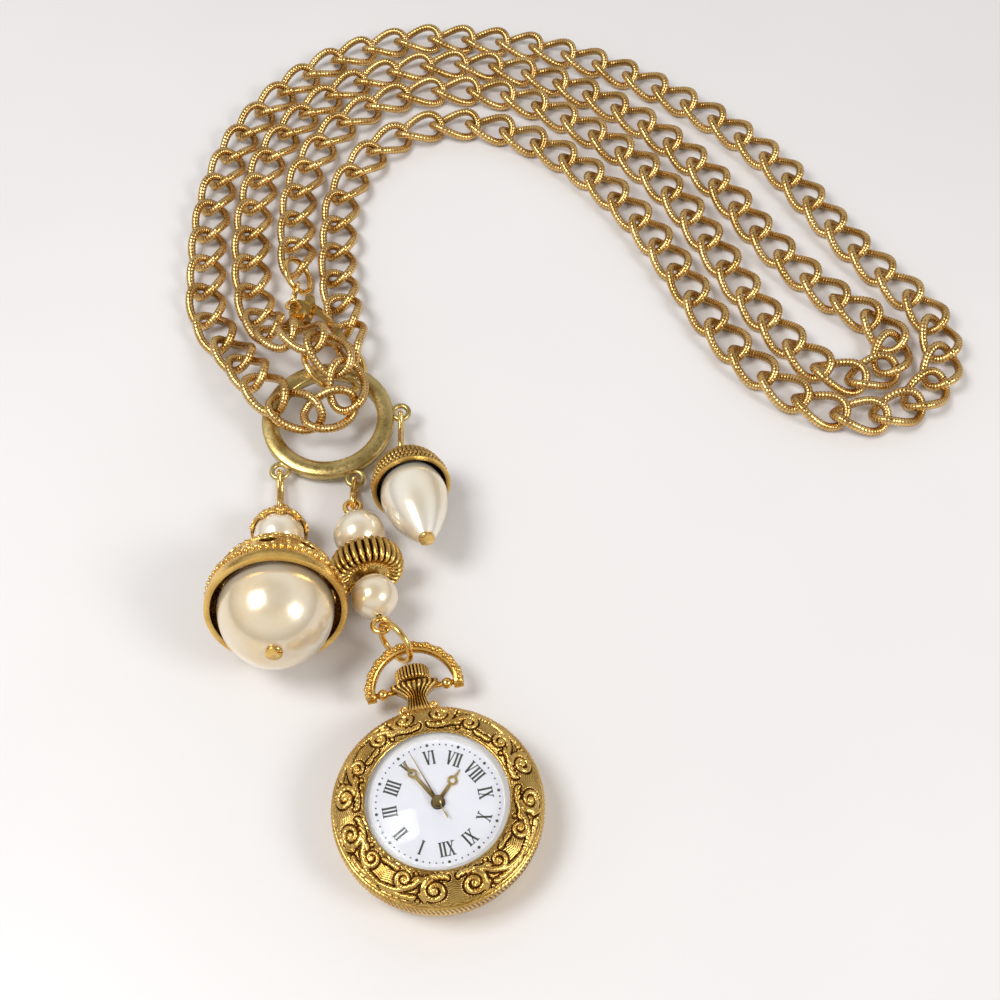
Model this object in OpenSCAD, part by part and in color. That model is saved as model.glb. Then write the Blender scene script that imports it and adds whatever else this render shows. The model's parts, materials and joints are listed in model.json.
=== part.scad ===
// Pendant watch on a long curb chain, laid out on a flat table.
// Millimetres, +Z up, origin at the centre of the case back where it meets the table.
// The neck of the watch points away from the viewer, a little left of +Y.

/* [Watch case] */
// Outer diameter of the case band
case_d = 27.8; // [26:0.1:30]
// Bore of the case that takes the movement holder
case_bore_d = 21.6; // [20:0.1:22]
// Height of the case band above the table
case_h = 6.4; // [6:0.1:7.5]
// Diameter of the snap-on case back
back_d = 24; // [23:0.1:24.6]
// Thickness of the case back plate
back_t = 1.2; // [0.9:0.05:1.4]
// Height of the snap lip of the case back
back_lip_h = 0.9; // [0.6:0.05:1]
// Height that the bezel rises above the case band
bezel_h = 2.1; // [1.8:0.05:2.6]
// Visible opening inside the bezel
bezel_opening_d = 18.7; // [17.5:0.1:19]
// Rise of the crystal above its flange
crystal_rise = 2.1; // [1.6:0.05:2.6]
// Thickness of the crystal
crystal_t = 0.9; // [0.6:0.05:1]
// Turn of the watch to the left of +Y
watch_turn = 12; // [0:1:30]

/* [Dial and hands] */
// Diameter of the dial
dial_d = 19.8; // [19:0.1:20]
// Thickness of the dial
dial_t = 0.4; // [0.3:0.05:0.5]
// Diameter of the white that shows inside the silver ring
dial_white_d = 16.9; // [15:0.1:17.2]
// Length of the minute hand
minute_hand_l = 7; // [5.5:0.1:7.4]
// Length of the hour hand
hour_hand_l = 5.2; // [4:0.1:5.6]
// Length of the seconds hand
second_hand_l = 7.4; // [6:0.1:7.6]
// Thickness of the hour and minute hands
hand_t = 0.12; // [0.08:0.01:0.16]

/* [Movement] */
// Diameter of the main plate
plate_d = 17.6; // [17:0.1:18]
// Thickness of the main plate
plate_t = 0.9; // [0.8:0.05:1]
// Diameter of the button cell
battery_d = 6.8; // [6.4:0.1:7]
// Height of the button cell
battery_h = 1.7; // [1.5:0.1:1.8]
// Distance from one tooth to the next along a wheel's pitch circle
tooth_pitch = 0.36; // [0.33:0.01:0.37]

/* [Neck, crown and bow] */
// Width of the neck at its top
neck_top_w = 6.8; // [6:0.1:7.2]
// Width of the neck at its waist
neck_waist_w = 2.9; // [2.6:0.1:3.4]
// Width of the neck at its foot
neck_foot_w = 5.3; // [4.8:0.1:6]
// Depth of the neck front to back
neck_depth = 3; // [2.8:0.1:3.2]
// Length of the neck from the case band to its top
neck_l = 4.8; // [4.6:0.1:5]
// Diameter of the crown
crown_d = 4.8; // [4.4:0.1:5]
// Length of the crown
crown_l = 2.4; // [2.1:0.1:2.6]
// Outer width of the bow
bow_w = 13.7; // [13:0.1:14.5]
// Height of the inside of the bow above its screws
bow_rise = 5.2; // [5.1:0.05:5.4]
// Thickness of the bow's band
bow_t = 1.3; // [1.1:0.05:1.35]
// Depth of the bow's band
bow_depth = 2; // [1.8:0.1:2.2]
// Diameter of the ball-headed bow screws
ball_d = 1.6; // [1.4:0.1:1.7]

/* [Rings and loops] */
// Diameter of the wire of the eyes, connectors and pin loops
loop_wire_d = 0.84; // [0.7:0.02:0.9]
// Centre-line diameter of the eyes on the big ring
eye_d = 2.5; // [2.4:0.05:3]
// Centre-line width of the oval connectors
connector_w = 2.4; // [2.3:0.05:2.6]
// Straight length of the left connector
left_connector_l = 5.2; // [4.6:0.1:5.6]
// Straight length of the middle connector
mid_connector_l = 4.6; // [4:0.1:5]
// Straight length of the right connector
right_connector_l = 5.6; // [5:0.1:6]
// Centre-line diameter of the loops on the bead pins
pin_loop_d = 2.3; // [2.2:0.05:2.8]
// Diameter of the bead pins
pin_d = 0.7; // [0.5:0.02:0.76]
// Centre-line diameter of the ring that carries the bow
bow_ring_d = 6.1; // [6:0.05:6.4]
// Wire diameter of the ring that carries the bow
bow_ring_wire_d = 0.9; // [0.7:0.02:0.95]
// Outer diameter of the big ring
ring_d = 20.9; // [20:0.1:22]
// Width of the big ring's band
ring_band_w = 2.6; // [2.2:0.05:2.8]
// Thickness of the big ring
ring_t = 1.8; // [1.4:0.05:2]
// Tilt of the big ring, far side up
ring_tilt = 6.5; // [6:0.25:7]
// Centre-line diameter of the clasp ring
clasp_ring_d = 10.8; // [10.4:0.1:11.4]
// Wire diameter of the clasp ring
clasp_ring_wire_d = 1.1; // [0.9:0.02:1.2]

/* [Left drop] */
// Diameter of the large pearl
large_pearl_d = 16.2; // [15:0.1:16.6]
// Diameter of the dome cap at its rim
dome_d = 19.7; // [19:0.1:21]
// Height of the dome cap
dome_h = 13; // [12:0.1:14]
// Wall of the dome cap
dome_t = 0.8; // [0.6:0.05:1]
// Diameter of the small pearl
small_pearl_d = 7.5; // [7:0.1:8]
// Wall of the small scalloped cap
small_cap_t = 0.4; // [0.3:0.05:0.5]

/* [Middle drop] */
// Diameter of the upper pearl
upper_pearl_d = 7.7; // [7.2:0.1:8]
// Diameter of the lower pearl
lower_pearl_d = 6.8; // [6.4:0.1:7.2]
// Diameter of the ribbed rondelle
rondelle_d = 10.8; // [10:0.1:11.4]
// Length of the rondelle along its pin
rondelle_l = 5.4; // [5:0.1:6]
// Tilt of the middle drop, ring end down
mid_tilt = 6; // [5:0.5:7]

/* [Right drop] */
// Widest diameter of the teardrop pearl
teardrop_d = 10; // [9:0.1:10.4]
// Length of the teardrop pearl
teardrop_l = 16; // [14:0.1:17]
// Diameter of the acorn cap
acorn_d = 12; // [11.6:0.1:13]
// Height of the acorn cap
acorn_h = 7.2; // [6.6:0.1:8]
// Wall of the acorn cap
acorn_t = 0.7; // [0.5:0.05:0.8]
// Tilt of the right drop, ring end down
right_tilt = 15; // [13:0.5:16]

/* [Chain] */
// Distance from one link to the next on a straight run
link_pitch = 6.8; // [6.6:0.05:7.4]
// Outer width of a link
link_w = 7; // [6.4:0.05:7.1]
// Diameter of the link wire
link_wire_d = 1.4; // [1.2:0.02:1.5]
// Twist of a link, as the height of its saddle
link_saddle = 1.1; // [1:0.05:1.2]

/* [Clasp] */
// Length of the lobster clasp
clasp_l = 13.2; // [12.6:0.1:13.6]
// Width of the lobster clasp
clasp_w = 5.2; // [4.8:0.1:5.6]
// Thickness of the lobster clasp
clasp_t = 2; // [1.6:0.05:2.2]

/* [Fits] */
// Running clearance of pins, arbors and stems, on the radius
run_gap = 0.05; // [0.03:0.005:0.07]
// Gap between linked wires and beside parts that swing
link_gap = 0.12; // [0.1:0.01:0.2]
// Gap at snap and seat diameters, on the radius
seat_gap = 0.05; // [0.02:0.01:0.1]

/* [Hidden] */

gold = "goldenrod";
pearl = "ivory";
steel = "silver";
brass = "khaki";
fine = 64;
round = 32;

// One overrun serves every cut
over = 0.5;

// Direction to the left of +Y by an azimuth and above the table by a rise
function heading(azimuth, rise) = [-sin(azimuth) * cos(rise), cos(azimuth) * cos(rise), sin(rise)];
// Place of a point of the watch, from the watch's own right, neck and up directions
function on_watch(p) = [p[0] * cos(watch_turn) - p[1] * sin(watch_turn),
    p[0] * sin(watch_turn) + p[1] * cos(watch_turn), p[2]];

// Stands the children along a heading, with +Z along it and +X level
module place(at, azimuth, rise, roll = 0)
    translate(at) rotate([0, 0, azimuth]) rotate([rise - 90, 0, 0]) rotate([0, 0, roll]) children();
// The watch's own frame, turned on the table
module watch() rotate([0, 0, watch_turn]) children();
// A straight tube wall between two heights
module tube(outer_r, inner_r, low, high, facets = fine)
    translate([0, 0, low]) difference() {
        cylinder(r = outer_r, h = high - low, $fn = facets);
        translate([0, 0, -over]) cylinder(r = inner_r, h = high - low + 2 * over, $fn = facets);
    }
// A round wire ring that stands in its own XZ plane
module wire_ring(line_d, wire_d)
    rotate([90, 0, 0]) rotate_extrude($fn = fine) translate([line_d / 2, 0])
        circle(d = wire_d, $fn = round);
// An oval wire link in the XZ plane: two half rings and two straight wires
module oval_link(line_w, straight, wire_d) {
    side_share = 0.96;
    for (s = [1, -1])
        translate([0, 0, s * straight / 2]) rotate([s > 0 ? 90 : -90, 0, 0])
            rotate_extrude(angle = 180, $fn = fine) translate([line_w / 2, 0])
                circle(d = wire_d, $fn = round);
    for (s = [1, -1])
        translate([s * line_w / 2, 0, -straight / 2]) cylinder(d = side_share * wire_d, h = straight,
            $fn = round);
}

// Heights of the watch, from the table up
case_r = case_d / 2;
bore_r = case_bore_d / 2;
back_r = back_d / 2;
back_foot_share = 0.78;
back_foot_r = back_foot_share * back_r;
back_rise = 0.45 * back_t;
back_lip_t = 0.7;
lip_outer_r = back_r - 0.3 * back_t;
gasket_d = 0.3;
ledge_z = back_t + back_lip_h + gasket_d + 2 * seat_gap;
dial_seat_h = 0.2;
dial_top = case_h + dial_seat_h;
dial_low = dial_top - dial_t;
holder_low = back_t + seat_gap;
bezel_top = case_h + bezel_h;
flange_low = dial_top + dial_t;
flange_h = 0.8;
flange_top = flange_low + flange_h;
crystal_r = dial_d / 2;
lip_r = bezel_opening_d / 2;
arbor_r = 0.3;

// Case

module case_ring() {
    band_low_share = 0.64;
    belly_share = 0.94;
    color(gold) watch() difference() {
        rotate_extrude($fn = fine) polygon([
            [bore_r, ledge_z], [lip_outer_r + seat_gap, ledge_z], [lip_outer_r + seat_gap, back_t],
            [back_r + seat_gap, back_t], [back_r + seat_gap, back_rise], [belly_share * case_r, back_t],
            [case_r - 0.2 * back_t, band_low_share * case_h], [case_r, 0.7 * case_h],
            [case_r, 0.96 * case_h], [case_r - 0.3 * back_t, case_h], [bore_r, case_h]]);
        // hole for the winding stem's tube
        translate([0, 0, stem_z]) rotate([-90, 0, 0])
            cylinder(r = stem_r + run_gap, h = case_r + over, $fn = round);
    }
}

module case_back()
    color(gold) watch() rotate_extrude($fn = fine) polygon([
        [0, 0], [back_foot_r, 0], [back_r, back_rise], [back_r, back_t], [lip_outer_r, back_t],
        [lip_outer_r, back_t + back_lip_h], [lip_outer_r - back_lip_t, back_t + back_lip_h],
        [lip_outer_r - back_lip_t, back_t], [0, back_t]]);

// The gasket lies between the snap lip and the ledge of the case
module back_gasket()
    color("dimgray") watch() rotate_extrude($fn = fine)
        translate([lip_outer_r - back_lip_t / 2, ledge_z - seat_gap - gasket_d / 2])
            circle(d = gasket_d, $fn = round);

module bezel()
    color(gold) watch() rotate_extrude($fn = fine) polygon([
        [crystal_r + seat_gap, case_h], [case_r - 0.3 * back_t, case_h],
        [0.965 * case_r, case_h + 0.28 * bezel_h], [0.91 * case_r, case_h + 0.62 * bezel_h],
        [0.84 * case_r, case_h + 0.88 * bezel_h], [0.77 * case_r, bezel_top],
        [0.71 * case_r, case_h + 0.96 * bezel_h], [lip_r, flange_top + 0.25 * flange_h],
        [lip_r, flange_top], [crystal_r + seat_gap, flange_top]]);

// Radius of a dome from its span and rise
function dome_r(span, rise) = (span * span / 4 + rise * rise) / (2 * rise);
module crystal() {
    outer_rise = crystal_rise;
    outer_r = dome_r(bezel_opening_d - 4 * seat_gap, outer_rise);
    hollow_d = dial_white_d;
    hollow_rise = outer_rise + flange_h - crystal_t;
    hollow_r = dome_r(hollow_d, hollow_rise);
    color("lightcyan", 0.35) watch() difference() {
        union() {
            translate([0, 0, flange_low]) cylinder(r = crystal_r, h = flange_h, $fn = fine);
            intersection() {
                translate([0, 0, flange_top + outer_rise - outer_r]) sphere(r = outer_r, $fn = fine);
                translate([0, 0, flange_low + flange_h / 2])
                    cylinder(r = lip_r - 2 * seat_gap, h = outer_rise + flange_h, $fn = fine);
            }
        }
        intersection() {
            translate([0, 0, flange_low + hollow_rise - hollow_r]) sphere(r = hollow_r, $fn = fine);
            translate([0, 0, flange_low - over]) cylinder(r = hollow_d / 2, h = hollow_rise + 2 * over,
                $fn = fine);
        }
    }
}

// Silver ring between the dial and the crystal
module rehaut_ring()
    color(steel) watch() rotate_extrude($fn = fine) polygon([
        [dial_white_d / 2, dial_top], [crystal_r, dial_top], [crystal_r, flange_low],
        [dial_white_d / 2 + 0.5 * (flange_low - dial_top), flange_low]]);

module dial()
    color("white") watch() difference() {
        translate([0, 0, dial_low]) cylinder(d = dial_d, h = dial_t, $fn = fine);
        translate([0, 0, dial_low - over]) cylinder(r = hour_pipe_r + 3 * run_gap, h = dial_t + 2 * over,
            $fn = round);
    }

// Hands, shown near twenty-five past seven, with six o'clock beside the neck
hand_gap = 0.14;
hour_hand_z = dial_top + hand_gap;
minute_hand_z = hour_hand_z + hand_t + hand_gap;
second_hand_z = minute_hand_z + hand_t + hand_gap;
second_t = 0.08;
hub_r = 0.85;
// Angles of the three hands to the right of the neck, looking down
hour_angle = 44;
minute_angle = -30;
second_angle = -19;
// A hand points along +Y: a tapered blade with an open ring near its tip
module ring_hand(length, wide, ring_out_d, ring_at_share) {
    ring_y = ring_at_share * length;
    linear_extrude(height = hand_t) difference() {
        union() {
            circle(r = hub_r, $fn = round);
            polygon([[-wide / 2, 0], [wide / 2, 0], [wide / 2.6, ring_y], [-wide / 2.6, ring_y]]);
            translate([0, ring_y]) circle(d = ring_out_d, $fn = round);
            polygon([[-wide / 2.4, ring_y], [wide / 2.4, ring_y], [wide / 8, length], [-wide / 8, length]]);
        }
        translate([0, ring_y]) circle(d = ring_out_d / 2, $fn = round);
        children();
    }
}
module hour_hand()
    color(gold) watch() translate([0, 0, hour_hand_z]) rotate([0, 0, -hour_angle])
        ring_hand(hour_hand_l, 0.55, 1.35, 0.66) circle(r = minute_pipe_r + 2 * run_gap, $fn = round);
module minute_hand()
    color(gold) watch() translate([0, 0, minute_hand_z]) rotate([0, 0, -minute_angle])
        ring_hand(minute_hand_l, 0.6, 1.3, 0.72) circle(r = arbor_r + run_gap, $fn = round);
module second_hand()
    color(gold) watch() translate([0, 0, second_hand_z]) rotate([0, 0, -second_angle]) union() {
        tail_share = 0.36;
        linear_extrude(height = second_t)
            polygon([[-0.11, -tail_share * second_hand_l], [0.11, -tail_share * second_hand_l],
                [0.05, second_hand_l], [-0.05, second_hand_l]]);
        cylinder(r = hub_r * 0.8, h = 3 * second_t, $fn = round);
    }

// Movement, seen from the watch's own axis with the neck along +Y

holder_r = bore_r - seat_gap;
plate_r = plate_d / 2;
holder_in_r = plate_r + seat_gap;
pivot_r = 0.16;
motion_gap = 0.1;
plate_top = dial_low - 0.95;
plate_low = plate_top - plate_t;
battery_low = holder_low + 0.3;
battery_top = battery_low + battery_h;
wheel_t = 0.2;
// Levels of the three train wheels, the second wheel lowest
second_z = battery_top + motion_gap + 0.1;
third_z = second_z + wheel_t + motion_gap;
centre_z = third_z + wheel_t + motion_gap;
minute_pipe_r = arbor_r + run_gap + 0.2;
hour_pipe_r = minute_pipe_r + run_gap + 0.2;
// Wheels: tooth counts and pitch radii
centre_teeth = 64;
third_teeth = 60;
pinion_teeth = 8;
minute_teeth = 30;
cannon_teeth = 10;
hour_teeth = 32;
train_reach = tooth_pitch * (centre_teeth + pinion_teeth) / (2 * PI);
third_share = third_teeth / (third_teeth + pinion_teeth);
motion_pitch = 1.25 * tooth_pitch;
motion_reach = motion_pitch * (minute_teeth + cannon_teeth) / (2 * PI);
tooth_h = 0.3 * tooth_pitch;
mesh_gap = 0.05;
third_angle = 200;
minute_angle_at = 300;
battery_angle = 35;
rotor_angle = 125;
centre_wheel_r = train_reach * centre_teeth / (centre_teeth + pinion_teeth);
third_wheel_r = train_reach * third_share;
rotor_reach = centre_wheel_r + 3 * mesh_gap + pivot_r + 2 * mesh_gap;
rotor_pinion_r = 0.34;
magnet_r = 0.7;
stem_z = 0.6 * case_h;
stem_r = 0.35;
function polar(r, angle) = [r * cos(angle), r * sin(angle), 0];

// A toothed outline with straight-sided teeth
module toothed(n, tip_r, depth)
    polygon([for (i = [0 : 4 * n - 1])
        let (r = (i % 4 < 2) ? tip_r : tip_r - depth, a = 360 * (i + (i % 2 == 0 ? 0.15 : -0.15)) / (4 * n))
        [r * cos(a), r * sin(a)]]);
module wheel_disc(n, tip_r, hole_r, hub_share = 0.3) {
    spoke_share = 0.14;
    rim_share = 0.8;
    difference() {
        toothed(n, tip_r, tooth_h);
        difference() {
            circle(r = rim_share * tip_r, $fn = fine);
            circle(r = max(hub_share * tip_r, 1.4 * hole_r), $fn = round);
            for (a = [0 : 90 : 270])
                rotate([0, 0, a]) translate([0, -spoke_share * tip_r / 2])
                    square([tip_r, spoke_share * tip_r]);
        }
        if (hole_r > 0) circle(r = hole_r, $fn = round);
    }
}

module movement_holder() {
    slot_w = 2.4 * stem_r;
    color("gainsboro") watch() difference() {
        tube(holder_r, holder_in_r, holder_low, dial_low);
        translate([0, 0, stem_z]) rotate([-90, 0, 0])
            cylinder(r = slot_w, h = holder_r + over, $fn = round);
    }
}

module main_plate() {
    color(brass) watch() difference() {
        union() {
            translate([0, 0, plate_low]) cylinder(r = plate_r, h = plate_t, $fn = fine);
            // post for the minute wheel
            translate(polar(motion_reach, minute_angle_at) + [0, 0, plate_low])
                cylinder(r = pivot_r, h = plate_t + 2 * motion_gap + wheel_t + 2 * wheel_t, $fn = round);
        }
        translate([0, 0, plate_low - over]) cylinder(r = minute_pipe_r + run_gap, h = plate_t + 2 * over,
            $fn = round);
        for (p = [polar(train_reach, third_angle), polar(rotor_reach, rotor_angle)])
            translate(p + [0, 0, plate_low - over])
                cylinder(r = pivot_r + run_gap, h = over + 0.6 * plate_t, $fn = round);
        for (p = bridge_feet)
            translate([p[0], p[1], plate_low - over])
                cylinder(r = screw_r, h = over + 0.7 * plate_t, $fn = round);
    }
}

// The bridge under the wheels, on two feet screwed to the main plate
screw_r = 0.28;
bridge_low = battery_top - 0.75;
bridge_t = 0.7;
foot_r = 0.6;
bridge_feet = [polar(0.93 * plate_r - foot_r, 172), polar(0.93 * plate_r - foot_r, 236)];
module train_bridge() {
    color(brass) watch() difference() {
        union() {
            translate([0, 0, bridge_low]) linear_extrude(height = bridge_t)
                polygon([for (q = [[1, 60], [1, 330], [8, 240], [8, 168]])
                    [q[0] * plate_r / 9 * cos(q[1]), q[0] * plate_r / 9 * sin(q[1])]]);
            for (p = bridge_feet)
                translate([p[0], p[1], bridge_low]) cylinder(r = foot_r, h = plate_low - bridge_low,
                    $fn = round);
            translate([0, 0, bridge_low]) cylinder(r = 0.13 * plate_r, h = bridge_t, $fn = round);
        }
        for (p = bridge_feet)
            translate([p[0], p[1], bridge_low - over])
                cylinder(r = screw_r + mesh_gap, h = plate_low - bridge_low + 2 * over, $fn = round);
        translate([0, 0, bridge_low + 0.2 * bridge_t]) cylinder(r = pivot_r + run_gap, h = bridge_t,
            $fn = round);
        translate(polar(train_reach, third_angle) + [0, 0, bridge_low + 0.2 * bridge_t])
            cylinder(r = pivot_r + run_gap, h = bridge_t, $fn = round);
    }
}
module bridge_screws() {
    head_h = 0.35;
    slot_w = 0.2;
    color(steel) watch() for (p = bridge_feet)
        translate([p[0], p[1], bridge_low - head_h]) difference() {
            union() {
                cylinder(r = 0.9 * foot_r, h = head_h, $fn = round);
                translate([0, 0, head_h / 2])
                    cylinder(r = screw_r - mesh_gap / 2, h = head_h / 2 + plate_low - bridge_low
                        + 0.6 * plate_t, $fn = round);
            }
            translate([-foot_r, -slot_w / 2, -over]) cube([2 * foot_r, slot_w, over + head_h / 3]);
        }
}
battery_at = polar(0.97 * plate_r - battery_d / 2, battery_angle);
module battery()
    color(steel) watch() translate(battery_at) union() {
        translate([0, 0, battery_low]) cylinder(d = 0.86 * battery_d, h = battery_h / 4, $fn = fine);
        translate([0, 0, battery_low + battery_h / 8]) cylinder(d = battery_d, h = 7 * battery_h / 8,
            $fn = fine);
    }
strap_t = 0.12;
module battery_strap()
    color("darkkhaki") watch() translate(battery_at) rotate([0, 0, battery_angle + 90])
        translate([-0.3 * battery_d, -0.09 * battery_d, battery_low - seat_gap / 2 - strap_t])
            cube([0.6 * battery_d, 0.18 * battery_d, strap_t]);
module circuit_board()
    color("darkgreen") watch() translate([0, 0, holder_low + 0.1 * battery_h])
        linear_extrude(height = 0.3)
            polygon([for (q = [[0.42, 250], [0.95, 245], [0.95, 265], [0.95, 285], [0.95, 305],
                [0.95, 322], [0.5, 322]])
                [q[0] * plate_r * cos(q[1]), q[0] * plate_r * sin(q[1])]]);
module quartz_can()
    color(steel) watch() translate(polar(0.72 * plate_r, 258)
        + [0, 0, holder_low + 0.1 * battery_h + 0.35 + can_r])
        rotate([0, 0, 15]) rotate([0, 90, 0]) cylinder(r = can_r, h = 0.52 * plate_r, $fn = round);
can_r = 0.6;
// The coil lies beyond the rotor, with the stator over its ends
coil_r = 0.62;
coil_at = 0.74 * plate_r;
coil_l = 0.5 * plate_r;
stator_z = battery_top - 0.45;
stator_t = 0.35;
module coil()
    color("sienna") watch() rotate([0, 0, rotor_angle]) translate([coil_at, 0,
        stator_z - coil_r - seat_gap]) rotate([90, 0, 0])
        union() {
            core_share = 0.45;
            translate([0, 0, -coil_l / 2]) cylinder(r = coil_r, h = coil_l, $fn = round);
            translate([0, 0, -0.62 * coil_l]) cylinder(r = core_share * coil_r, h = 1.24 * coil_l,
                $fn = round);
        }
module stator()
    color(steel) watch() rotate([0, 0, rotor_angle]) translate([0, 0, stator_z])
        linear_extrude(height = stator_t)
        difference() {
            polygon([[rotor_reach - 1.9 * magnet_r, -1.4 * magnet_r],
                [rotor_reach - 1.9 * magnet_r, 1.4 * magnet_r],
                [coil_at - coil_r, 0.62 * coil_l], [coil_at + 1.4 * coil_r, 0.62 * coil_l],
                    [coil_at + 1.4 * coil_r, 0.42 * coil_l],
                [rotor_reach + 1.5 * magnet_r, 1.1 * magnet_r],
                    [rotor_reach + 1.5 * magnet_r, -1.1 * magnet_r],
                [coil_at + 1.4 * coil_r, -0.42 * coil_l], [coil_at + 1.4 * coil_r, -0.62 * coil_l],
                    [coil_at - coil_r, -0.62 * coil_l]]);
            translate([rotor_reach, 0]) circle(r = magnet_r + 2 * mesh_gap, $fn = round);
        }
module rotor()
    color("slategray") watch() translate(polar(rotor_reach, rotor_angle)) union() {
        translate([0, 0, stator_z - 0.3]) cylinder(r = pivot_r, h = plate_low - stator_z + 0.3
            + 0.4 * plate_t, $fn = round);
        translate([0, 0, stator_z - 0.1]) cylinder(r = magnet_r, h = stator_t + 0.1, $fn = round);
        translate([0, 0, second_z]) linear_extrude(height = wheel_t)
            toothed(pinion_teeth, rotor_pinion_r, tooth_h);
    }
module third_wheel()
    color(brass) watch() translate(polar(train_reach, third_angle)) union() {
        translate([0, 0, bridge_low + 0.3 * bridge_t])
            cylinder(r = pivot_r, h = plate_low - bridge_low - 0.3 * bridge_t + 0.4 * plate_t, $fn = round);
        translate([0, 0, third_z]) linear_extrude(height = wheel_t)
            wheel_disc(third_teeth, third_wheel_r + tooth_h / 3, 0);
        translate([0, 0, third_z]) linear_extrude(height = centre_z + wheel_t - third_z)
            toothed(pinion_teeth, train_reach - centre_wheel_r - tooth_h / 3 - mesh_gap, tooth_h);
    }
// The second wheel's arbor runs up through the pipes to the seconds hand
module second_wheel()
    color(brass) watch() union() {
        translate([0, 0, bridge_low + 0.3 * bridge_t])
            cylinder(r = pivot_r, h = second_z - bridge_low, $fn = round);
        translate([0, 0, second_z]) cylinder(r = arbor_r, h = second_hand_z - second_z, $fn = round);
        translate([0, 0, second_z]) linear_extrude(height = wheel_t)
            wheel_disc(third_teeth, rotor_reach - rotor_pinion_r - mesh_gap, 0);
        translate([0, 0, second_z]) linear_extrude(height = third_z + wheel_t - second_z)
            toothed(pinion_teeth, train_reach - third_wheel_r - tooth_h / 3 - mesh_gap, tooth_h);
    }
module centre_wheel()
    color(brass) watch() union() {
        translate([0, 0, centre_z]) linear_extrude(height = wheel_t)
            wheel_disc(centre_teeth, centre_wheel_r + tooth_h / 3, arbor_r + run_gap);
        tube(minute_pipe_r, arbor_r + run_gap, centre_z, minute_hand_z, round);
        translate([0, 0, plate_top + motion_gap]) linear_extrude(height = wheel_t) difference() {
            toothed(cannon_teeth, motion_reach * cannon_teeth / (minute_teeth + cannon_teeth) - mesh_gap,
                tooth_h);
            circle(r = arbor_r + run_gap, $fn = round);
        }
    }
module minute_wheel()
    color(brass) watch() translate(polar(motion_reach, minute_angle_at) + [0, 0, plate_top + motion_gap])
        union() {
        linear_extrude(height = wheel_t)
            wheel_disc(minute_teeth, motion_reach * minute_teeth / (minute_teeth
                + cannon_teeth) - mesh_gap / 2, pivot_r + run_gap);
        linear_extrude(height = 2 * wheel_t + motion_gap) difference() {
            toothed(pinion_teeth, 0.2 * motion_reach - mesh_gap, tooth_h);
            circle(r = pivot_r + run_gap, $fn = round);
        }
    }
module hour_wheel()
    color(brass) watch() union() {
        translate([0, 0, plate_top + 2 * motion_gap + wheel_t]) linear_extrude(height = wheel_t)
            wheel_disc(hour_teeth, 0.8 * motion_reach - mesh_gap / 2, minute_pipe_r + run_gap, 0.36);
        tube(hour_pipe_r, minute_pipe_r + run_gap, plate_top + 2 * motion_gap + wheel_t, hour_hand_z,
            round);
    }

// Neck, crown and bow

neck_top_v = case_r + neck_l;
ball_u = neck_top_w / 2 + 0.68 * ball_d;
bow_screw_r = 0.24 * ball_d;
pivot_v = neck_top_v - 1.8 * bow_screw_r;
collar_r = 0.8;
collar_l = 1;
crown_gap = 0.25;
crown_low = neck_top_v + crown_gap;
bow_out_r = bow_w / 2;
bow_in_r = bow_out_r - bow_t;
bow_tilt = 16;

module neck() {
    waist_v = case_r + 0.46 * neck_l;
    half = [[neck_foot_w / 2, 0.9 * case_r], [neck_foot_w / 2, case_r],
        [0.72 * neck_foot_w / 2, case_r + 0.16 * neck_l],
        [neck_waist_w / 2, waist_v], [1.06 * neck_waist_w / 2, case_r + 0.6 * neck_l],
        [0.72 * neck_top_w / 2, case_r + 0.78 * neck_l], [0.94 * neck_top_w / 2, case_r + 0.88 * neck_l],
            [neck_top_w / 2, neck_top_v]];
    color(gold) watch() difference() {
        translate([0, 0, stem_z - neck_depth / 2]) linear_extrude(height = neck_depth)
            polygon(concat(half, [for (i = [len(half) - 1 : -1 : 0]) [-half[i][0], half[i][1]]]));
        rotate_extrude($fn = fine) polygon([
            [0, back_t], [0.94 * case_r, back_t], [case_r - 0.2 * back_t, 0.64 * case_h],
            [case_r, 0.7 * case_h], [case_r, 0.96 * case_h], [case_r, case_h + over], [0, case_h + over]]);
        translate([0, 0, stem_z]) rotate([-90, 0, 0]) cylinder(r = collar_r + run_gap, h = neck_top_v
            + over, $fn = round);
        for (s = [0, 1]) mirror([s, 0, 0]) translate([neck_top_w / 4, pivot_v, stem_z])
            rotate([0, 90, 0]) cylinder(r = bow_screw_r, h = neck_top_w, $fn = round);
    }
}
// Two ball-headed screws that carry the bow
module bow_screws()
    color(gold) watch() for (s = [0, 1]) mirror([s, 0, 0]) translate([0, pivot_v, stem_z]) union() {
        translate([neck_top_w / 4, 0, 0]) rotate([0, 90, 0])
            cylinder(r = bow_screw_r, h = bow_out_r - neck_top_w / 4, $fn = round);
        translate([ball_u, 0, 0]) sphere(d = ball_d, $fn = round);
    }
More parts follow.
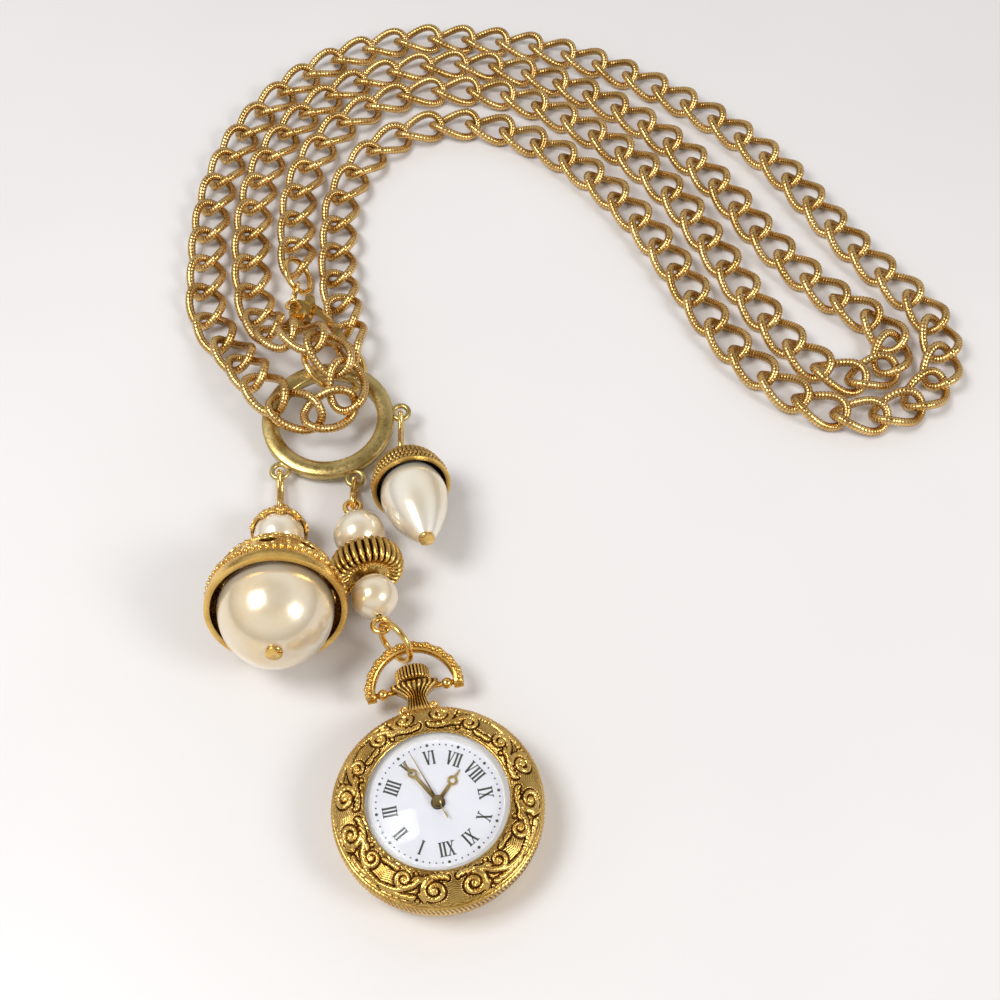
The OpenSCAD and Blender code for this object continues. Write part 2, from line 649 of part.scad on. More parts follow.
// The bow leans up from the case by its own tilt
module at_bow() watch() translate([0, pivot_v, stem_z]) rotate([bow_tilt, 0, 0]) children();
module bow() {
    lug_r = 2.4 * bow_screw_r;
    color(gold) at_bow() difference() {
        union() {
            intersection() {
                translate([0, bow_rise - bow_in_r, 0]) rotate_extrude($fn = fine) polygon([
                    [bow_in_r, -0.3 * bow_depth], [bow_in_r + 0.25 * bow_t, -bow_depth / 2],
                        [bow_out_r - 0.25 * bow_t, -bow_depth / 2],
                    [bow_out_r, -0.3 * bow_depth], [bow_out_r, 0.3 * bow_depth],
                        [bow_out_r - 0.25 * bow_t, bow_depth / 2],
                    [bow_in_r + 0.25 * bow_t, bow_depth / 2], [bow_in_r, 0.3 * bow_depth]]);
                translate([-bow_w, -0.4 * lug_r, -bow_w]) cube([2 * bow_w, bow_w, 2 * bow_w]);
            }
            for (s = [0, 1]) mirror([s, 0, 0]) translate([bow_in_r - 0.1 * bow_t, 0, 0])
                rotate([0, 90, 0]) cylinder(r = lug_r, h = bow_t, $fn = round);
        }
        for (s = [0, 1]) mirror([s, 0, 0]) translate([bow_in_r - bow_t, 0, 0])
            rotate([0, 90, 0]) cylinder(r = bow_screw_r + run_gap, h = 3 * bow_t, $fn = round);
    }
}
// The stem turns with the crown; the collar slides with it but doesn't turn
module stem() {
    shoulder_v = neck_top_v - 0.55 - collar_l;
    color(steel) watch() translate([0, 0, stem_z]) rotate([-90, 0, 0]) union() {
        translate([0, 0, 0.86 * plate_r]) cylinder(r = stem_r, h = crown_low
            + 0.4 * crown_l - 0.86 * plate_r, $fn = round);
        translate([0, 0, shoulder_v - 0.3]) cylinder(r = 0.75 * collar_r, h = 0.25, $fn = round);
    }
}
module stem_collar()
    color(brass) watch() translate([0, 0, stem_z]) rotate([-90, 0, 0])
        translate([0, 0, neck_top_v - 0.55 - collar_l]) difference() {
            cylinder(r = collar_r, h = collar_l, $fn = round);
            translate([0, 0, -over]) cylinder(r = stem_r + run_gap, h = collar_l + 2 * over, $fn = round);
        }
crown_gasket_d = 0.3;
module crown() {
    flutes = 28;
    crown_r = crown_d / 2;
    color(gold) watch() translate([0, crown_low, stem_z]) rotate([-90, 0, 0]) difference() {
        intersection() {
            linear_extrude(height = crown_l) toothed(flutes, crown_r, 0.07 * crown_r);
            rotate_extrude($fn = fine) polygon([[0, 0], [0.92 * crown_r, 0], [crown_r, 0.08 * crown_l],
                [crown_r, 0.7 * crown_l],
                [0.86 * crown_r, 0.84 * crown_l], [0.5 * crown_r, 0.97 * crown_l], [0, crown_l]]);
        }
        translate([0, 0, -over]) cylinder(r = stem_r, h = over + 0.4 * crown_l, $fn = round);
        translate([0, 0, -over]) cylinder(r = stem_r + 2.4 * crown_gasket_d, h = over
            + 1.4 * crown_gasket_d, $fn = round);
    }
}
module crown_gasket()
    color("dimgray") watch() translate([0, crown_low + 0.7 * crown_gasket_d, stem_z]) rotate([-90, 0, 0])
        rotate_extrude($fn = fine) translate([stem_r + 1.2 * crown_gasket_d, 0])
            circle(d = crown_gasket_d, $fn = round);

// The hang from the bow to the big ring, worked out from the parts it is made of

wire_r = loop_wire_d / 2;
bow_ring_r = bow_ring_d / 2;
hook_l = bow_rise - bow_ring_wire_d / 2 - 3 * link_gap;
hook_at = on_watch([0, pivot_v + hook_l * cos(bow_tilt), stem_z + hook_l * sin(bow_tilt)]);
bow_ring_azimuth = 42;
bow_ring_roll = -80;
hub_half = 0.4 * rondelle_l;
// Places along the middle pin, from its lower loop's wire
lower_s = pin_loop_d + wire_r + link_gap + lower_pearl_d / 2;
rondelle_s = lower_s + lower_pearl_d / 2 + link_gap + hub_half;
upper_s = rondelle_s + hub_half + link_gap + upper_pearl_d / 2;
mid_s = upper_s + upper_pearl_d / 2 + link_gap + wire_r + pin_loop_d;
mid_azimuth = 14.5;
mid_low_z = rondelle_d / 2 * cos(mid_tilt) + rondelle_s * sin(mid_tilt);
bow_ring_reach = bow_ring_d - bow_ring_wire_d / 2 - wire_r - 1.6 * link_gap;
loop_r = pin_loop_d / 2;
bow_ring_rise = asin((mid_low_z - loop_r * sin(mid_tilt) - hook_at[2]) / (bow_ring_reach + loop_r));
mid_link_azimuth = 2;
// The two loops of the middle pin are held at their centres
mid_low = hook_at + (bow_ring_reach + loop_r) * heading(bow_ring_azimuth,
    bow_ring_rise) - loop_r * heading(mid_azimuth, -mid_tilt);
mid_high = mid_low + (mid_s - loop_r) * heading(mid_azimuth, -mid_tilt)
    + loop_r * heading(mid_link_azimuth, -mid_tilt);
// A connector holds two wires, each this far inside its own ends
link_hold = loop_wire_d + link_gap;
mid_reach = mid_connector_l + connector_w - 2 * link_hold;
left_reach = left_connector_l + connector_w - 2 * link_hold;
right_reach = right_connector_l + connector_w - 2 * link_hold;
eye_z = connector_w / 2 + wire_r + link_gap;
mid_link_rise = asin((eye_z - mid_high[2]) / mid_reach);
mid_eye_at = mid_high + mid_reach * heading(mid_link_azimuth, mid_link_rise);
ring_r = ring_d / 2;
eye_centre_r = ring_r + 0.45 * eye_d;
mid_eye_angle = 24.6;
left_eye_angle = -37;
right_eye_angle = 97.5;
// Offset from the ring's centre of a place at a radius and an angle to the right of -Y
function in_ring(r, angle) = [r * sin(angle), -r * cos(angle) * cos(ring_tilt),
    -r * cos(angle) * sin(ring_tilt)];
// Place where an eye at an angle holds a connector that leaves along an azimuth
function in_eye(angle, azimuth) = in_ring(eye_centre_r, angle) + in_ring(eye_d / 2, azimuth - 180);
ring_at = mid_eye_at - in_eye(mid_eye_angle, mid_link_azimuth + 180);

// A pin's loop: a wire ring from the pin's frame, standing from z to z plus its own width
module pin_loop(z, roll = 0)
    translate([0, 0, z + pin_loop_d / 2]) rotate([0, 0, roll]) wire_ring(pin_loop_d, loop_wire_d);
module rod(low, high) translate([0, 0, low]) cylinder(d = pin_d, h = high - low, $fn = round);
// A bored ball
module bead(d, z) translate([0, 0, z]) difference() {
    sphere(d = d, $fn = fine);
    translate([0, 0, -d]) cylinder(d = pin_d + 2 * run_gap, h = 2 * d, $fn = round);
}
module on_mid() place(mid_low, mid_azimuth, -mid_tilt) children();

module bow_ring()
    color(gold) place(hook_at, bow_ring_azimuth, bow_ring_rise, bow_ring_roll)
        translate([0, 0, bow_ring_r]) wire_ring(bow_ring_d, bow_ring_wire_d);
module mid_pin()
    color(gold) on_mid() union() {
        pin_loop(0);
        rod(pin_loop_d, mid_s - pin_loop_d);
        pin_loop(mid_s - pin_loop_d);
    }
module lower_pearl() color(pearl) on_mid() bead(lower_pearl_d, lower_s);
module upper_pearl() color(pearl) on_mid() bead(upper_pearl_d, upper_s);
module rondelle() {
    r = rondelle_d / 2;
    h = rondelle_l / 2;
    hub_r = 0.3 * r;
    color(gold) on_mid() translate([0, 0, rondelle_s]) rotate_extrude($fn = fine) polygon([
        [pin_d / 2 + run_gap, -hub_half], [hub_r, -hub_half], [0.5 * r, -0.5 * h], [0.78 * r, -0.8 * h],
            [0.9 * r, -0.7 * h],
        [0.98 * r, -0.35 * h], [r, 0], [0.98 * r, 0.35 * h], [0.9 * r, 0.7 * h], [0.78 * r, 0.8 * h],
            [0.5 * r, 0.5 * h],
        [hub_r, hub_half], [pin_d / 2 + run_gap, hub_half]]);
}
module mid_connector()
    color(gold) place(mid_high, mid_link_azimuth, mid_link_rise, 90)
        translate([0, 0, mid_reach / 2]) oval_link(connector_w, mid_connector_l, loop_wire_d);
// The big ring with its three eyes
module big_ring() {
    edge = 0.14 * ring_t;
    color("darkgoldenrod") translate(ring_at) rotate([ring_tilt, 0, 0]) union() {
        rotate_extrude($fn = fine) polygon([
            [ring_r - ring_band_w, edge - ring_t / 2], [ring_r - ring_band_w + edge, -ring_t / 2],
                [ring_r - edge, -ring_t / 2],
            [ring_r, edge - ring_t / 2], [ring_r, ring_t / 2 - edge], [ring_r - edge, ring_t / 2],
            [ring_r - ring_band_w + edge, ring_t / 2], [ring_r - ring_band_w, ring_t / 2 - edge]]);
        for (a = [left_eye_angle, mid_eye_angle, right_eye_angle])
            translate([eye_centre_r * sin(a), -eye_centre_r * cos(a), 0])
                rotate_extrude($fn = fine) translate([eye_d / 2, 0]) circle(d = loop_wire_d, $fn = round);
    }
}

// Left drop: it rests on the side of the dome, leaning as if on its rim and the small cap

dome_r = dome_d / 2;
small_cap_r = small_pearl_d / 2 + link_gap + small_cap_t;
small_t = dome_h + link_gap + small_pearl_d / 2;
left_t = small_t + small_cap_r + link_gap + wire_r + pin_loop_d;
left_tilt = atan((dome_r - small_cap_r) / small_t);
left_azimuth = 186.3;
left_eye_at = ring_at + in_eye(left_eye_angle, left_azimuth);
// The fullest place of the dome's side, as shares of its radius and height, lies on the table
dome_flank = [0.914, 0.35];
left_high_z = dome_flank[0] * dome_r * cos(left_tilt) + (dome_flank[1] * dome_h - left_t) * sin(left_tilt);
left_link_rise = asin((left_high_z - left_eye_at[2]) / left_reach);
left_high = left_eye_at + left_reach * heading(left_azimuth, left_link_rise);
// Frame of the left drop: its origin is the rim of the dome, +Z towards the ring
module on_left() place(left_high + left_t * heading(left_azimuth, left_tilt), left_azimuth - 180,
    -left_tilt) children();
pearl_r = large_pearl_d / 2;
head_d = 2.3;
head_t = 0.4;
module left_connector()
    color(gold) place(left_eye_at, left_azimuth, left_link_rise, 90)
        translate([0, 0, left_reach / 2]) oval_link(connector_w, left_connector_l, loop_wire_d);
module left_pin()
    color(gold) on_left() union() {
        pin_loop(left_t - pin_loop_d);
        rod(-pearl_r - link_gap - head_t / 2, left_t - pin_loop_d);
        translate([0, 0, -pearl_r - link_gap - head_t]) cylinder(d = head_d, h = head_t, $fn = round);
    }
module small_pearl() color(pearl) on_left() bead(small_pearl_d, small_t);
module small_cap() {
    inner_r = small_cap_r - small_cap_t;
    scallops = 9;
    arc = [for (a = [0 : 10 : 80]) a];
    color(gold) on_left() translate([0, 0, small_t]) difference() {
        rotate_extrude($fn = fine) polygon(concat(
            [for (a = arc) small_cap_r * [cos(a), sin(a)]],
            [[pin_d / 2 + run_gap, small_cap_r], [pin_d / 2 + run_gap, inner_r]],
            [for (i = [len(arc) - 1 : -1 : 0]) inner_r * [cos(arc[i]), sin(arc[i])]]));
        for (i = [0 : scallops - 1])
            rotate([0, 0, 360 * (i + 0.5) / scallops]) translate([0, 0, -0.14 * small_cap_r])
                rotate([0, 90, 0])
                cylinder(d = 1.75 * small_cap_r * sin(180 / scallops), h = 2 * small_cap_r, $fn = round);
    }
}
// The dome cap hangs on the tube at its crown, around the top half of the large pearl
module dome_cap() {
    tube_r = 0.9;
    windows = 10;
    tube_low = pearl_r + link_gap;
    outer = [[1, 0], [1.005, 0.08], [0.975, 0.185], [0.914, 0.35], [0.8, 0.54], [0.63, 0.73],
        [0.447, 0.87], [0.284, 0.97], [0.12, 1]];
    color(gold) on_left() difference() {
        union() {
            rotate_extrude($fn = fine) polygon(concat(
                [for (p = outer) [p[0] * dome_r, p[1] * dome_h]], [[0, dome_h], [0, dome_h - dome_t]],
                [for (i = [len(outer) - 1 : -1 : 0])
                    let (p = outer[i]) [max(0, p[0] * dome_r - dome_t * (i > 5 ? 0.5 : 1)),
                        max(0, p[1] * dome_h - dome_t * (i > 5 ? 1 : (i > 2 ? 0.7 : 0)))]]));
            translate([0, 0, tube_low]) cylinder(r = tube_r, h = dome_h - dome_t / 2 - tube_low,
                $fn = round);
        }
        translate([0, 0, -over]) cylinder(d = pin_d + 2 * run_gap, h = dome_h + 2 * over, $fn = round);
        for (i = [0 : windows - 1])
            rotate([0, 0, 360 * (i + 0.5) / windows]) translate([0, 0, 0.37 * dome_h]) rotate([0, 90, 0])
                cylinder(r = 0.09 * dome_h, h = 2 * dome_r, $fn = round);
    }
}
module large_pearl() color(pearl) on_left() bead(large_pearl_d, 0);

// Right drop: the edge band of the acorn cap rests on the table

acorn_r = acorn_d / 2;
rim_s = pin_loop_d + wire_r + link_gap + acorn_h;
right_azimuth = 194;
right_link_azimuth = 183;
right_eye_at = ring_at + in_eye(right_eye_angle, right_link_azimuth);
cap_edge_share = 0.2;
right_high_z = acorn_r * cos(right_tilt) - (rim_s - cap_edge_share * acorn_h) * sin(right_tilt);
right_link_rise = asin((right_high_z - right_eye_at[2]) / right_reach);
right_high = right_eye_at + right_reach * heading(right_link_azimuth, right_link_rise);
right_pin_at = right_high + loop_r * (heading(right_link_azimuth, right_tilt) - heading(right_azimuth,
    right_tilt));
module on_right() place(right_pin_at, right_azimuth, right_tilt) children();
drop_r = teardrop_d / 2;
drop_top_s = rim_s - 0.62 * acorn_h;
tip_disc_d = 2.3;
module right_connector()
    color(gold) place(right_eye_at, right_link_azimuth, right_link_rise, 90)
        translate([0, 0, right_reach / 2]) oval_link(connector_w, right_connector_l, loop_wire_d);
module acorn_cap() {
    outer = [[0.16, 0], [0.4, 0.07], [0.66, 0.22], [0.84, 0.42], [0.93, 0.6], [0.96, 0.72], [1, 0.8],
        [1, 1]];
    top_s = rim_s - acorn_h;
    color(gold) on_right() translate([0, 0, top_s]) difference() {
        rotate_extrude($fn = fine) polygon(concat(
            [for (p = outer) [p[0] * acorn_r, p[1] * acorn_h]],
            [for (i = [len(outer) - 1 : -1 : 1])
                let (p = outer[i]) [p[0] * acorn_r - acorn_t, p[1] * acorn_h
                    + (i < 5 ? 0.5 * acorn_t : 0)]],
            [[0, 1.3 * acorn_t], [0, 0]]));
        translate([0, 0, -over]) cylinder(d = pin_d + run_gap, h = acorn_h, $fn = round);
    }
}
module teardrop_pearl() {
    outline = [[0.16, 0], [0.5, 0.06], [0.78, 0.16], [0.94, 0.28], [1, 0.4], [0.95, 0.53], [0.82, 0.68],
        [0.62, 0.82], [0.42, 0.93], [0.26, 1]];
    color(pearl) on_right() translate([0, 0, drop_top_s]) rotate_extrude($fn = fine) polygon(concat(
        [for (p = outline) [p[0] * drop_r, p[1] * teardrop_l]],
        [[pin_d / 2 + run_gap / 2, teardrop_l], [pin_d / 2 + run_gap / 2, 0]]));
}
module teardrop_pin()
    color("darkkhaki") on_right() union() {
        pin_loop(0);
        rod(pin_loop_d, drop_top_s + teardrop_l + run_gap);
        translate([0, 0, drop_top_s + teardrop_l + run_gap])
            cylinder(d = tip_disc_d, h = head_t, $fn = round);
    }

// Clasp, its ring and the ring at the chain's end

clasp_ring_r = clasp_ring_d / 2;
clasp_ring_tilt = 32;
clasp_ring_at = ring_at + [0.03 * ring_r, 1.062 * ring_r, 0.078 * ring_r];
hold_angle = 98;
// A place on a ring that leans about the Y axis
function leaning(at, r, tilt, angle) = at + r * [cos(angle) * cos(tilt), sin(angle),
    -cos(angle) * sin(tilt)];
clasp_azimuth = 221.6;
clasp_rise = 7.8;
clasp_roll = 51;
nose_l = 0.17 * clasp_l;
clasp_tip = leaning(clasp_ring_at, clasp_ring_r, clasp_ring_tilt, hold_angle)
    + nose_l * heading(clasp_azimuth, clasp_rise);
clasp_base = clasp_tip - clasp_l * heading(clasp_azimuth, clasp_rise);
module on_clasp() place(clasp_base, clasp_azimuth, clasp_rise, clasp_roll) rotate([90, 0, 0]) children();
small_wire_d = 0.6;
clasp_eye_share = 0.4;
clasp_eye_roll = -48;
clasp_link_roll = -63;
clasp_link_slack = 0.4;
end_ring_hold = 268;
clasp_eye_d = 1.9;
end_ring_r = 3.1;
end_ring_wire_d = 1;
end_ring_tilt = 55;
end_ring_at = ring_at + [-0.718 * ring_r, 3.024 * ring_r, -0.01 * ring_r];
lever_pin_r = 0.3;
lever_pin_at = [-0.3 * clasp_w, 0.25 * clasp_l];
lever_share = 0.5;
module clasp_outline()
    polygon([for (q = [[0, 0], [0.23, 0.015], [0.37, 0.09], [0.44, 0.23], [0.5, 0.42], [0.46, 0.62],
        [0.33, 0.83], [0.17, 0.97], [0, 1],
        [-0.17, 0.97], [-0.33, 0.83], [-0.46, 0.62], [-0.5, 0.42], [-0.44, 0.23], [-0.37, 0.09],
            [-0.23, 0.015]])
        [q[0] * clasp_w, q[1] * clasp_l]]);
module clasp_opening()
    polygon([for (q = [[-0.1, 0.3], [0.16, 0.3], [0.25, 0.42], [0.25, 0.62], [0.21, 0.8], [0.13, 0.89],
        [0.04, 0.92], [-0.06, 0.92], [-0.16, 0.89], [-0.24, 0.78], [-0.26, 0.6], [-0.26, 0.42]])
        [q[0] * clasp_w, q[1] * clasp_l]]);
module clasp_ring()
    color(gold) translate(clasp_ring_at) rotate([0, clasp_ring_tilt, 0])
        rotate_extrude($fn = fine) translate([clasp_ring_r, 0]) circle(d = clasp_ring_wire_d, $fn = round);
module clasp_body()
    color(gold) on_clasp() difference() {
        union() {
            translate([0, 0, -clasp_t / 2]) linear_extrude(height = clasp_t) difference() {
                clasp_outline();
                clasp_opening();
                // gate that the lever closes
                translate([-clasp_w, 0.36 * clasp_l]) square([0.8 * clasp_w, 0.38 * clasp_l]);
            }
            translate([0, -clasp_eye_share * clasp_eye_d, 0]) rotate([0, clasp_eye_roll, 0])
                rotate_extrude($fn = fine)
                translate([clasp_eye_d / 2, 0]) circle(d = small_wire_d, $fn = round);
        }
        // slot for the lever
        translate([-clasp_w, 0.16 * clasp_l, -lever_share * clasp_t / 2 - run_gap])
            cube([clasp_w - 0.08 * clasp_w, 0.24 * clasp_l, lever_share * clasp_t + 2 * run_gap]);
        translate([lever_pin_at[0], lever_pin_at[1], -clasp_t])
            cylinder(r = lever_pin_r, h = 2 * clasp_t, $fn = round);
    }
module clasp_lever()
    color(gold) on_clasp() translate([0, 0, -lever_share * clasp_t / 2])
        linear_extrude(height = lever_share * clasp_t) difference() {
        polygon([for (q = [[-0.24, 0.19], [-0.24, 0.33], [-0.27, 0.36], [-0.3, 0.5], [-0.29, 0.62],
            [-0.25, 0.725], [-0.4, 0.725], [-0.49, 0.56],
            [-0.51, 0.42], [-0.48, 0.3], [-0.66, 0.24], [-0.68, 0.17], [-0.56, 0.15],
                [-0.4, 0.18]]) [q[0] * clasp_w, q[1] * clasp_l]]);
        translate(lever_pin_at) circle(r = lever_pin_r + run_gap, $fn = round);
    }
module clasp_pin()
    color(gold) on_clasp() translate([lever_pin_at[0], lever_pin_at[1], -0.52 * clasp_t])
        cylinder(r = lever_pin_r - run_gap / 5, h = 1.04 * clasp_t, $fn = round);
module clasp_link() {
    eye_at = clasp_base - clasp_eye_share * clasp_eye_d * heading(clasp_azimuth, clasp_rise);
    to = leaning(end_ring_at, end_ring_r, end_ring_tilt, end_ring_hold);
    way = to - eye_at;
    reach = norm(way);
    low = clasp_eye_d / 2 - small_wire_d - link_gap - clasp_link_slack;
    high = reach + (small_wire_d + end_ring_wire_d) / 2 + link_gap + 0.4 * clasp_link_slack;
    wide = 1.15 * clasp_eye_d;
    color(gold) place(eye_at, atan2(-way[0], way[1]), asin(way[2] / reach), clasp_link_roll)
        translate([0, 0, (low + high) / 2]) oval_link(wide, high - low - wide, small_wire_d);
}
module end_ring()
    color(gold) translate(end_ring_at) rotate([0, end_ring_tilt, 0])
        rotate_extrude($fn = fine) translate([end_ring_r, 0]) circle(d = end_ring_wire_d, $fn = round);

// Chain: a route of hand-laid places, as shares of the link pitch from the big ring.
// Each row is the count of links so far, the place right and up, the lift and the roll.

ROUTE = [
    [0, -1.21, 5.4, 0.06, -10], [1, -1.31, 6.38, 0, 0], [2, -1.35, 7.38, 0, 0],
    [3.01, -1.26, 8.38, 0, 0], [4.2, -0.94, 9.53, 0, 0], [5.6, -0.24, 10.74, 0, 0],
    [7.01, 0.85, 11.62, 0, 0], [8.55, 2.32, 12.03, 0, 0], [10.03, 3.79, 11.94, 0, 0],
    [11.3, 4.97, 11.47, 0, 0], [13.13, 6.44, 10.38, 0, 0], [15.01, 7.76, 9.06, 0, 0],
    [16.85, 8.79, 7.53, 0, 0], [18.65, 9.53, 5.9, 0, 0], [20.08, 10.09, 4.57, 0, 0],
    [21.5, 10.71, 3.29, 0, 0], [22.72, 11.34, 2.29, 0, 0], [23.56, 11.87, 1.72, 0, 0],
    [24.5, 12.62, 1.44, 0, 0], [25.48, 13.37, 1.78, 0, 0], [26.45, 13.65, 2.54, 0, 0],
    [27.42, 13.29, 3.29, 0, 0], [28.53, 12.53, 3.97, 0, 0], [29.7, 11.79, 4.85, 0, 0],
    [31.32, 10.91, 6.21, 0, 0], [33.37, 9.97, 8.03, 0, 0], [35.43, 8.82, 9.74, 0, 0],
    [37.55, 7.35, 11.26, 0, 0], [39.55, 5.71, 12.38, 0, 0], [41.46, 3.94, 13.09, 0, 0],
    [43.38, 2.03, 13.15, 0, 0], [45.21, 0.29, 12.59, 0, 0], [46.87, -1, 11.56, 0, 0],
    [48.49, -1.88, 10.21, 0, 0], [50.04, -2.35, 8.74, 0, 0], [51.67, -2.49, 7.12, 0, 0],
    [53.05, -2.44, 5.74, 0, 0], [54, -2.32, 4.79, 0, 0], [55, -2.12, 3.82, 0.02, 0],
    [56, -1.8, 3.09, 0.14, 6], [57, -1.34, 2.4, 0.53, 5], [58, -0.67, 1.99, 0.92, -9],
    [59, 0.01, 1.4, 0.98, 3], [60, 0.45, 0.63, 0.7, -8], [61, 0.09, -0.01, 0.57, -29],
    [62, -0.69, -0.07, 0.65, -26], [63, -1.41, 0.47, 0.67, -12], [64, -1.95, 1.29, 0.46, -5],
    [65, -2.44, 2.09, 0.18, 5], [66, -3, 2.91, 0.02, -2], [67, -3.35, 3.79, 0, 0],
    [68, -3.47, 4.76, 0, 0], [69.47, -3.59, 6.24, 0, 0], [71.23, -3.54, 8, 0, 0],
    [73.18, -3.15, 9.91, 0, 0], [75.31, -2.21, 11.82, 0, 0], [77.45, -0.74, 13.38, 0, 0],
    [79.63, 1.24, 14.29, 0, 0], [81.75, 3.35, 14.32, 0, 0], [83.85, 5.41, 13.88, 0, 0],
    [85.97, 7.32, 12.97, 0, 0], [87.96, 8.94, 11.79, 0, 0], [89.98, 10.41, 10.41, 0, 0],
    [92.01, 11.65, 8.79, 0, 0], [93.89, 12.53, 7.12, 0, 0], [95.56, 13.32, 5.65, 0, 0],
    [96.9, 14.06, 4.53, 0, 0], [98.04, 14.65, 3.59, 0, 0], [99.15, 14.85, 2.56, 0, 0],
    [100.24, 14.65, 1.56, 0, 0], [101.36, 13.97, 0.76, 0, 0], [102.47, 13.03, 0.32, 0, 0],
    [103.5, 12.06, 0.35, 0, 0], [104.56, 11.15, 0.82, 0, 0], [106.04, 10.12, 1.88, 0, 0],
    [107.8, 9.24, 3.41, 0, 0], [109.71, 8.5, 5.18, 0, 0], [111.61, 7.65, 6.88, 0, 0],
    [113.59, 6.5, 8.5, 0, 0], [115.46, 5.12, 9.76, 0, 0], [117.26, 3.5, 10.53, 0, 0],
    [118.89, 1.88, 10.44, 0, 0], [120.37, 0.68, 9.59, 0, 0], [121.9, -0.01, 8.24, 0, 0],
    [123, -0.21, 7.15, 0, 0], [124, -0.19, 6.16, 0, 0], [125, -0.15, 5.19, 0, 0],
    [126, -0.03, 4.26, 0.03, 9], [127, 0.15, 3.4, 0.09, 24], [128, 0.38, 2.44, 0.15, 40]];
last_link = ROUTE[len(ROUTE) - 1][0];
link_slack = 0.4;
link_a = (link_pitch + link_wire_d + link_slack) / 2;
link_b = (link_w - link_wire_d) / 2;
table_gap = 0.1;
link_flat_z = link_saddle + link_wire_d / 2 + table_gap;
// Speed along the route at a knot, and the place on the smooth curve after a count of links
function row_step(k) = let (i = max(0, k - 1), j = min(len(ROUTE) - 1, k
    + 1)) (ROUTE[j] - ROUTE[i]) / (ROUTE[j][0] - ROUTE[i][0]);
function knot_before(n, k = 0) = (k >= len(ROUTE) - 2 || ROUTE[k + 1][0] > n) ? k : knot_before(n, k + 1);
function on_route(n) = let (k = knot_before(n), h = ROUTE[k + 1][0] - ROUTE[k][0],
    t = (n - ROUTE[k][0]) / h)
    (2 * t * t * t - 3 * t * t + 1) * ROUTE[k] + (t * t * t - 2 * t * t + t) * h * row_step(k)
    + (3 * t * t - 2 * t * t * t) * ROUTE[k + 1] + (t * t * t - t * t) * h * row_step(k + 1);
function link_at(q) = [ring_at[0] + q[1] * link_pitch, ring_at[1] + q[2] * link_pitch, link_flat_z
    + q[3] * link_pitch];
function unit(v) = v / norm(v);
// One curb link as a swept wire: a saddle-shaped loop of few-sided sections
link_sides = 4;
link_steps = 12;
module link(n) {
    q = on_route(n);
    ahead = unit(link_at(on_route(min(last_link, n + 0.5))) - link_at(on_route(max(0, n - 0.5))));
    side = unit(cross([0, 0, 1], ahead));
    up = cross(ahead, side);
    across = cos(q[4]) * side + sin(q[4]) * up;
    above = cos(q[4]) * up - sin(q[4]) * side;
    r = link_wire_d / 2;
    points = [for (i = [0 : link_steps - 1]) let (
            a = 360 * i / link_steps,
            c = [link_a * cos(a), link_b * sin(a), link_saddle * sin(2 * a)],
            tangent = unit([-link_a * sin(a), link_b * cos(a), 2 * link_saddle * cos(2 * a)]),
            out = unit(cross(tangent, [0, 0, 1])),
            over_it = cross(out, tangent))
        for (j = [0 : link_sides - 1]) let (
            b = 360 * j / link_sides,
            p = c + r * (cos(b) * out + sin(b) * over_it))
            link_at(q) + p[0] * ahead + p[1] * across + p[2] * above];
    faces = [for (i = [0 : link_steps - 1]) for (j = [0 : link_sides - 1]) let (
            i2 = (i + 1) % link_steps, j2 = (j + 1) % link_sides)
        for (f = [[i * link_sides + j, i * link_sides + j2, i2 * link_sides + j],
            [i * link_sides + j2, i2 * link_sides + j2, i2 * link_sides + j]]) f];
    polyhedron(points = points, faces = faces);
}
module run(from, to) color(gold) for (n = [from : to]) link(n);
turn_1 = 22;
turn_2 = 58;
turn_3 = 96;
module chain_run_1() run(0, turn_1);
module chain_run_2() run(turn_1 + 1, turn_2);
module chain_run_3() run(turn_2 + 1, turn_3);
module chain_run_4() run(turn_3 + 1, last_link);

case_ring();
case_back();
back_gasket();
bezel();
crystal();
rehaut_ring();
dial();
hour_hand();
minute_hand();
second_hand();
movement_holder();
main_plate();
train_bridge();
bridge_screws();
battery();
battery_strap();
circuit_board();
quartz_can();
coil();
stator();
rotor();
third_wheel();
second_wheel();
centre_wheel();
minute_wheel();
hour_wheel();
stem();
stem_collar();
crown();
crown_gasket();
neck();
bow();
bow_screws();
bow_ring();
mid_pin();
upper_pearl();
rondelle();
lower_pearl();
mid_connector();
big_ring();
left_connector();
left_pin();
small_cap();
small_pearl();
dome_cap();
large_pearl();
right_connector();
acorn_cap();
teardrop_pearl();
teardrop_pin();
clasp_ring();
clasp_body();
clasp_lever();
clasp_pin();
clasp_link();
end_ring();
chain_run_1();
chain_run_2();
chain_run_3();
chain_run_4();
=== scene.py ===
import json
import logging
import math
from collections.abc import Callable
from dataclasses import dataclass, field
from enum import Enum

